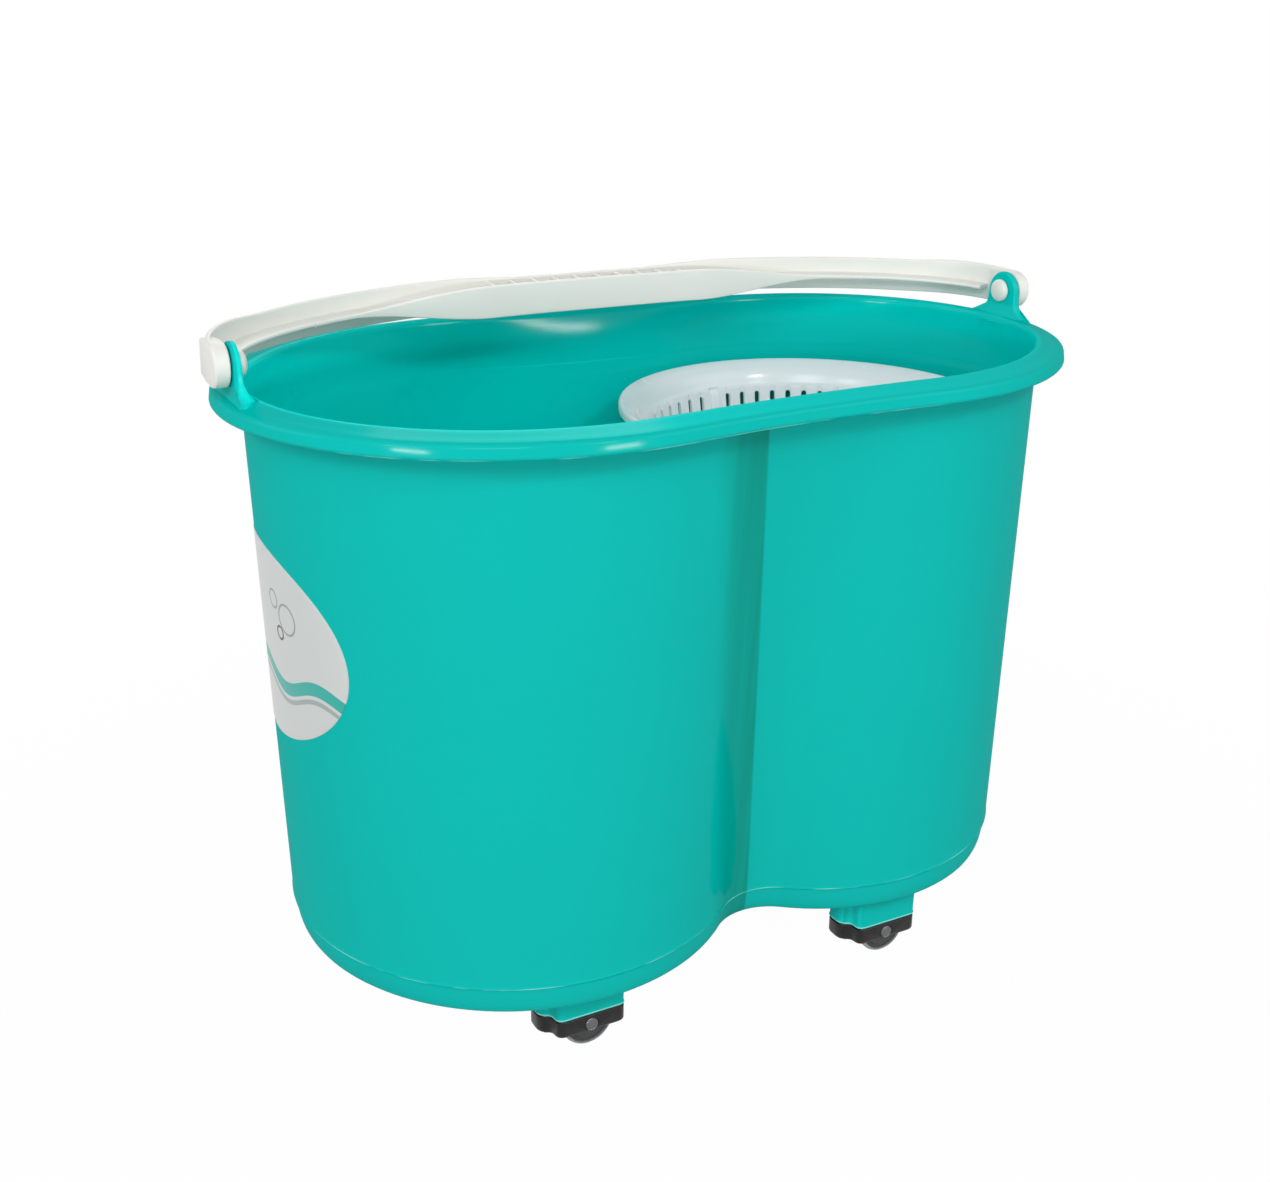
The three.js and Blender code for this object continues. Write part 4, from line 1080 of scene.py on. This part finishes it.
def slot_ring_tree():
    """Geometry nodes: cuts a ring of slots, and leaves the last place of every few whole."""
    tree, given = new_tree("slot_ring", (
        ("Cutter", "Object"), ("Places", "Int"), ("Every", "Int"), ("Start", "Float")))
    cutter = add_node(tree, "GeometryNodeObjectInfo", {"Object": given.outputs["Cutter"]})
    spots = add_node(tree, "GeometryNodePoints", {"Count": given.outputs["Places"]})
    number = add_node(tree, "GeometryNodeInputIndex")
    pitch = add_node(tree, "ShaderNodeMath", {0: math.tau, 1: given.outputs["Places"]},
                     operation="DIVIDE")
    angle = add_node(tree, "ShaderNodeMath", {
        0: number.outputs[0], 1: pitch.outputs[0], 2: given.outputs["Start"]},
        operation="MULTIPLY_ADD")
    turn = add_node(tree, "ShaderNodeCombineXYZ", {"Z": angle.outputs[0]})
    left = add_node(tree, "ShaderNodeMath", {0: number.outputs[0], 1: given.outputs["Every"]},
                    operation="MODULO")
    last = add_node(tree, "ShaderNodeMath", {0: given.outputs["Every"], 1: 1.5},
                    operation="SUBTRACT")
    open_place = add_node(tree, "ShaderNodeMath", {0: left.outputs[0], 1: last.outputs[0]},
                          operation="LESS_THAN")
    copies = add_node(tree, "GeometryNodeInstanceOnPoints", {
        "Points": spots.outputs[0], "Instance": cutter.outputs["Geometry"],
        "Rotation": turn.outputs[0], "Selection": open_place.outputs[0]})
    cutters = add_node(tree, "GeometryNodeRealizeInstances", {
        "Geometry": copies.outputs["Instances"]})
    cut = add_node(tree, "GeometryNodeMeshBoolean", {
        "Mesh 1": given.outputs["Geometry"], "Mesh 2": cutters.outputs["Geometry"]},
        operation="DIFFERENCE", solver="EXACT")
    return end_tree(tree, given, cut.outputs["Mesh"])


def slot_cutter(sizes):
    """A round-topped slot through the wall, on +X."""
    top = BASKET_HIGH.z / MM
    half = sizes.slot_width / MM / 2
    rim = sizes.radius / MM
    outline = [(-half, top - 84), (half, top - 84)] + arc((0, top - 17 - half), half, 0, 180, 8)
    rings = [[(x, y, z) for y, z in outline] for x in (rim - 29.5, rim - 7.5)]
    return skin("slot_cutter", rings)


def flute_cutter(sizes):
    """A shallow trough above a slot, running out towards the ledge."""
    top = BASKET_HIGH.z / MM
    rim = sizes.radius / MM
    radius = 1.9
    rings = []
    for t in np.linspace(0, 1, 7):
        z = lerp(top - 22, top - 11.6, t)
        wall = lerp(rim - 15.4, rim - 13.2, t)
        bite = lerp(0.8, 0.0, t ** 2)
        centre = wall + bite - radius
        rings.append([(x, y, z) for x, y in arc((centre, 0), radius, 0, 345, 23)])
    return skin("flute_cutter", rings)


def floor_slot_cutter():
    """A slot through the basket's floor that widens outwards, along +X."""
    floor = BASKET_LOW.z / MM
    outline = rounded_outline([(32, -1.7, 1.4), (68, -2.6, 2), (68, 2.6, 2), (32, 1.7, 1.4)])
    rings = [[(x, y, z) for x, y in outline] for z in (floor - 3, floor + 6)]
    return skin("floor_slot_cutter", rings)


def pilaster(sizes):
    """An upright rib between two panels of slots, on +X."""
    top = BASKET_HIGH.z / MM
    low = BASKET_LOW.z / MM
    rim = sizes.radius / MM
    side = [(rim - 13.5, top - 12.4), (rim - 15.9, top - 17), (rim - 17.3, top - 24),
            (rim - 24.1, low + 11.3), (rim - 25.9, low + 5.3)]
    back = [(rim - 14 if z > top - 30 else rim - 21.5, z) for _, z in side]
    rings = []
    for (x, z), (deep, _) in zip(side, back):
        rings.append([(deep, -3.2, z), (x + 0.5, -3.0, z), (x, -2.5, z), (x, 2.5, z),
                      (x + 0.5, 3.0, z), (deep, 3.2, z)])
    return skin("pilaster", rings)


def build_basket(sizes):
    """The wringer basket: a turned bowl with upright ribs, cut by three rings of slots."""
    surface = material_for("basket_plastic")
    body = turned("basket", basket_profile(sizes), surface, segments=240, closed=True)
    panel = math.tau / PANELS
    ribs = []
    for i in range(PANELS):
        rib = pilaster(sizes)
        ribs.append(place(rib, turn=sizes.start + FIRST_RIB + i * panel))
    combine(body, ribs, "UNION")
    tree = slot_ring_tree()
    # The floor's ring has no rib: its places run out before the first one comes.
    rings = (
        (flute_cutter(sizes), sizes.positions, RIB_EVERY, sizes.start),
        (slot_cutter(sizes), sizes.positions, RIB_EVERY, sizes.start),
        (floor_slot_cutter(), FLOOR_SLOTS, 100, sizes.start + math.radians(24)),
    )
    for cutter, places, every, start in rings:
        run_tree(body, tree, {
            "Cutter": cutter, "Places": places, "Every": every, "Start": start,
            "Surface": surface})
        bpy.data.objects.remove(cutter)
    place(body, BASKET_X)
    finish_surface(body, surface, 35)
    deliver(body, "basket", "basket_plastic", "spin_basket")


def build_hub():
    """The toothed hub that drives the mop plate, and its cap."""
    surface = material_for("white_plastic")
    low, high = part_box("drive_hub")
    base = low.z / MM
    flange = BASKET_LOW.z / MM - 0.3
    height = high.z / MM
    body = turned("drive_hub", [(6.3, base), (12.2, base), (12.6, base + 0.4), (12.6, flange - 3.6),
                                (25.4, flange - 3.6), (26, flange - 3.1), (26, flange - 0.4),
                                (25.6, flange), (13.2, flange), (12.6, flange + 0.6),
                                (12.6, height - 0.5), (12.1, height), (9.2, height),
                                (9.2, base + 23), (6.3, base + 23)], surface, closed=True)
    teeth = []
    for i in range(8):
        tooth = skin("tooth", [
            [(11, -2.4, z), (15 - trim, -2.4 + trim, z), (15 - trim, 2.4 - trim, z), (11, 2.4, z)]
            for z, trim in ((base + 14, 0.3), (height - 1.4, 0.3), (height, 1.2))])
        teeth.append(place(tooth, turn=i * math.tau / 8))
    combine(body, teeth, "UNION")
    finish_surface(body, surface)
    deliver(place(body, BASKET_X), "basket", "white_plastic", "drive_hub")
    low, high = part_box("hub_cap")
    base = high.z / MM - 3.6
    cap = turned("hub_cap", [(8.9, low.z / MM), (8.9, base), (12.2, base), (12.4, base + 0.3),
                             (12.4, base + 1.4), (11.9, base + 2.3), (10.6, base + 3), (8, base + 3.35),
                             (3, base + 3.6)], surface)
    deliver(place(cap, BASKET_X), "basket", "white_plastic", "hub_cap")


# ---------------------------------------------------------------- castors
def castor_housing(corner, centre):
    """The black fork that clips into a pod and carries the wheel."""
    body = pod_stack("castor_housing_" + corner, [
        (10.0, 1.6), (10.25, 0.9), (10.9, 0.3), (11.8, 0.0), (HOUSING_TOP - 0.5, 0.0),
        (HOUSING_TOP, 0.4)], cut=HOUSING_CUT)
    plan = ((-15.5, -10.6), (15.5, -10.6), (15.5, 3), (-15.5, 3))
    well = skin("well", [[(x, y, z) for x, y in plan] for z in (0, 22)])
    bore = turned("bore", [(2.8, -14.5), (2.8, 18)], segments=32, axis="Y")
    seat = turned("seat", [(3.8, -16), (3.8, -11.2)], segments=32, axis="Y")
    for tool in (bore, seat):
        place(tool, 0, 0, centre.z)
    combine(body, [well, bore, seat], "DIFFERENCE")
    finish_surface(body, material_for("black_plastic"), 32)
    place(body, centre.x, centre.y, 0, corner_turn(corner))
    deliver(body, "bucket", "black_plastic", "castor_housing_" + corner)


def castor_wheel(corner, centre):
    """A wheel with a raised hub and a rounded tread; its wear attribute marks the tread."""
    half = WHEEL_HALF
    profile = [(2.8, -half + 0.6), (5.2, -half + 0.6), (5.8, -half), (9.6, -half), (10.2, -half + 0.9),
               (11.6, -half + 0.9), (12.2, -half), (12.9, -half + 0.15), (13.6, -half + 0.9),
               (14, -half + 1.9)]
    profile += [(r, -y) for r, y in profile[::-1]]
    wheel = turned("castor_wheel_" + corner, profile, material_for("wheel_plastic"),
                   closed=True, axis="Y", crease=50)
    wear = wheel.data.attributes.new("wear", "FLOAT", "POINT")
    for vertex, value in zip(wheel.data.vertices, wear.data):
        reach = math.hypot(vertex.co.x, vertex.co.z) / MM
        value.value = smooth_step(reach, 11.8, 12.6)
    turn = corner_turn(corner)
    place(wheel, centre.x, centre.y - WHEEL_FORWARD * MM * math.cos(turn), centre.z, turn)
    deliver(wheel, "wheel_" + corner, "wheel_plastic", "castor_wheel_" + corner)


def castor_axle(corner, centre):
    """The axle with its flat head outside the housing."""
    profile = [(0.4, -13.0), (2.3, -13.0), (2.7, -12.75), (3.0, -12.75), (3.3, -13.0), (3.5, -12.8),
               (3.5, -11.5), (2.5, -11.5), (2.5, 8.2), (2.1, 8.6)]
    axle = turned("castor_axle_" + corner, profile, material_for("zinc_steel"),
                  segments=40, axis="Y")
    place(axle, centre.x, centre.y, centre.z, corner_turn(corner))
    deliver(axle, "bucket", "zinc_steel", "castor_axle_" + corner)


# ---------------------------------------------------------------- stage
def backdrop_rays(tree):
    """One for rays that show the backdrop, straight, in a mirror or through glass, else zero."""
    path = add_node(tree, "ShaderNodeLightPath")
    share = path.outputs["Is Camera Ray"]
    for ray in ("Is Glossy Ray", "Is Transmission Ray"):
        share = add_node(tree, "ShaderNodeMath", {0: share, 1: path.outputs[ray]},
                         operation="MAXIMUM").outputs[0]
    return share


def build_floor():
    """A pale floor that keeps the bucket's shadow and fades into a white backdrop."""
    bpy.ops.mesh.primitive_circle_add(
        vertices=96, radius=6, fill_type="NGON", location=(0, 0, -0.0002))
    floor = bpy.context.object
    floor.name = "floor"
    surface, tree, shader = new_material("floor_white", Base_Color=linear("B6B6B6"), Roughness=0.6)
    where = add_node(tree, "ShaderNodeTexCoord")
    far = add_node(tree, "ShaderNodeVectorMath", {0: where.outputs["Object"]}, operation="LENGTH")
    fade = add_node(tree, "ShaderNodeMapRange", {
        "Value": far.outputs["Value"], "From Min": FLOOR_FADE["start"],
        "From Max": FLOOR_FADE["end"], "To Min": FLOOR_FADE["least"]},
        interpolation_type="SMOOTHSTEP")
    share = add_node(tree, "ShaderNodeMath", {0: fade.outputs["Result"], 1: backdrop_rays(tree)},
                     operation="MULTIPLY")
    white = add_node(tree, "ShaderNodeEmission", {"Color": (1, 1, 1, 1), "Strength": 1.0})
    mix = add_node(tree, "ShaderNodeMixShader", {
        0: share.outputs[0], 1: shader.outputs[0], 2: white.outputs[0]})
    tree.links.new(mix.outputs[0], tree.nodes["Material Output"].inputs["Surface"])
    floor.data.materials.append(surface)


def direction(azimuth, elevation):
    """The way from the bucket towards a place round it, with azimuth 0 at the front."""
    level = math.cos(elevation)
    return Vector((math.sin(azimuth) * level, -math.cos(azimuth) * level, math.sin(elevation)))


def build_lamps():
    """A pale room, a key and a broad front lamp, two low strips and a soft fill on each side."""
    world = bpy.data.worlds.new("studio")
    bpy.context.scene.world = world
    world.use_nodes = True
    tree = world.node_tree
    tree.nodes.clear()
    level = add_node(tree, "ShaderNodeMapRange", {
        "Value": backdrop_rays(tree), "To Min": ROOM_LIGHT, "To Max": 1.0})
    back = add_node(tree, "ShaderNodeBackground", {
        "Color": (1, 1, 1, 1), "Strength": level.outputs["Result"]})
    add_node(tree, "ShaderNodeOutputWorld", {"Surface": back.outputs[0]})
    for name, azimuth, elevation, distance, width, height, power in LAMPS:
        spot = distance * direction(math.radians(azimuth), math.radians(elevation))
        lamp = bpy.data.lights.new(name, "AREA")
        lamp.shape = "RECTANGLE"
        lamp.size = width
        lamp.size_y = height
        lamp.energy = power
        holder = bpy.data.objects.new(name, lamp)
        bpy.context.scene.collection.objects.link(holder)
        holder.location = LAMP_AIM + spot
        holder.rotation_euler = (-spot).to_track_quat("-Z", "Y").to_euler()


def build_camera(settings):
    """A camera whose frame is 1270 by 1182, with its focal length and centre in the same unit."""
    wide, tall = 1270, 1182
    focal = 1621.23
    centre = (657.0, 502.24)
    aim = Vector((1.908, 9.071, 205.728 + UNDERSIDE)) * MM
    back = direction(settings.azimuth, settings.elevation)
    lens = bpy.data.cameras.new("camera")
    camera = bpy.data.objects.new("camera", lens)
    bpy.context.scene.collection.objects.link(camera)
    camera.location = aim + back * settings.distance
    level = (-back).to_track_quat("-Z", "Y")
    camera.rotation_mode = "QUATERNION"
    camera.rotation_quaternion = level @ Matrix.Rotation(settings.roll, 3, "Z").to_quaternion()
    lens.sensor_width = 36.0
    lens.lens = focal / wide * lens.sensor_width
    lens.shift_x = (wide / 2 - centre[0]) / wide
    lens.shift_y = (centre[1] - tall / 2) / wide
    lens.clip_start = 0.01
    lens.dof.use_dof = False
    bpy.context.scene.camera = camera
    bpy.context.scene.view_settings.view_transform = "Standard"


# ---------------------------------------------------------------- operators
class MOP_OT_bucket(bpy.types.Operator):
    """Build the bucket moulding with its rim, ears, pods and post"""

    bl_idname = "mop.bucket"
    bl_label = "Bucket"

    def execute(self, context):
        build_bucket(context.scene.mop_bucket)
        build_label()
        return {"FINISHED"}


class MOP_OT_handle(bpy.types.Operator):
    """Build the bail handle and its two pins"""

    bl_idname = "mop.handle"
    bl_label = "Handle"

    def execute(self, context):
        build_handle(context.scene.mop_handle)
        return {"FINISHED"}


class MOP_OT_basket(bpy.types.Operator):
    """Build the slotted wringer basket, its hub and cap"""

    bl_idname = "mop.basket"
    bl_label = "Basket"

    def execute(self, context):
        build_basket(context.scene.mop_basket)
        build_hub()
        return {"FINISHED"}


class MOP_OT_castors(bpy.types.Operator):
    """Build the four castors: housings, wheels and axles"""

    bl_idname = "mop.castors"
    bl_label = "Castors"

    def execute(self, context):
        for corner, centre in WHEEL_CENTRES.items():
            castor_housing(corner, centre)
            castor_wheel(corner, centre)
            castor_axle(corner, centre)
        return {"FINISHED"}


class MOP_OT_spindle(bpy.types.Operator):
    """Give the pieces that the frame already holds, such as the spindle, their materials"""

    bl_idname = "mop.spindle"
    bl_label = "Spindle"

    def execute(self, context):
        for entry in frame["record"]["subparts"]:
            piece = frame["nodes"][entry["node"]]
            piece.data.materials.clear()
            piece.data.materials.append(material_for(entry["material_slot"]))
        return {"FINISHED"}


class MOP_OT_stage(bpy.types.Operator):
    """Set the floor, the lamps and the camera"""

    bl_idname = "mop.stage"
    bl_label = "Stage"

    def execute(self, context):
        build_floor()
        build_lamps()
        build_camera(context.scene.mop_stage)
        return {"FINISHED"}


class MOP_PT_panel(bpy.types.Panel):
    """The pieces of the bucket"""

    bl_idname = "MOP_PT_panel"
    bl_label = "Spin mop bucket"
    bl_space_type = "VIEW_3D"
    bl_region_type = "UI"
    bl_category = "Bucket"

    def draw(self, context):
        for operator in OPERATORS:
            self.layout.operator(operator.bl_idname)
        for group in ("mop_bucket", "mop_basket", "mop_handle", "mop_stage"):
            settings = getattr(context.scene, group)
            for name in settings.__annotations__:
                self.layout.prop(settings, name)


OPERATORS = (
    MOP_OT_spindle, MOP_OT_bucket, MOP_OT_handle, MOP_OT_basket, MOP_OT_castors, MOP_OT_stage)
GROUPS = {
    "mop_bucket": BucketSettings, "mop_basket": BasketSettings,
    "mop_handle": HandleSettings, "mop_stage": StageSettings,
}


def register():
    for name, group in GROUPS.items():
        bpy.utils.register_class(group)
        setattr(bpy.types.Scene, name, PointerProperty(type=group))
    for operator in OPERATORS:
        bpy.utils.register_class(operator)
    bpy.utils.register_class(MOP_PT_panel)


def unregister():
    bpy.utils.unregister_class(MOP_PT_panel)
    for operator in reversed(OPERATORS):
        bpy.utils.unregister_class(operator)
    for name, group in GROUPS.items():
        delattr(bpy.types.Scene, name)
        bpy.utils.unregister_class(group)


def main():
    """Builds the bucket and its stage."""
    register()
    for operator in OPERATORS:
        group, name = operator.bl_idname.split(".")
        if getattr(getattr(bpy.ops, group), name)() != {"FINISHED"}:
            raise RuntimeError(operator.bl_label + " did not finish")


if __name__ == "__main__":
    main()
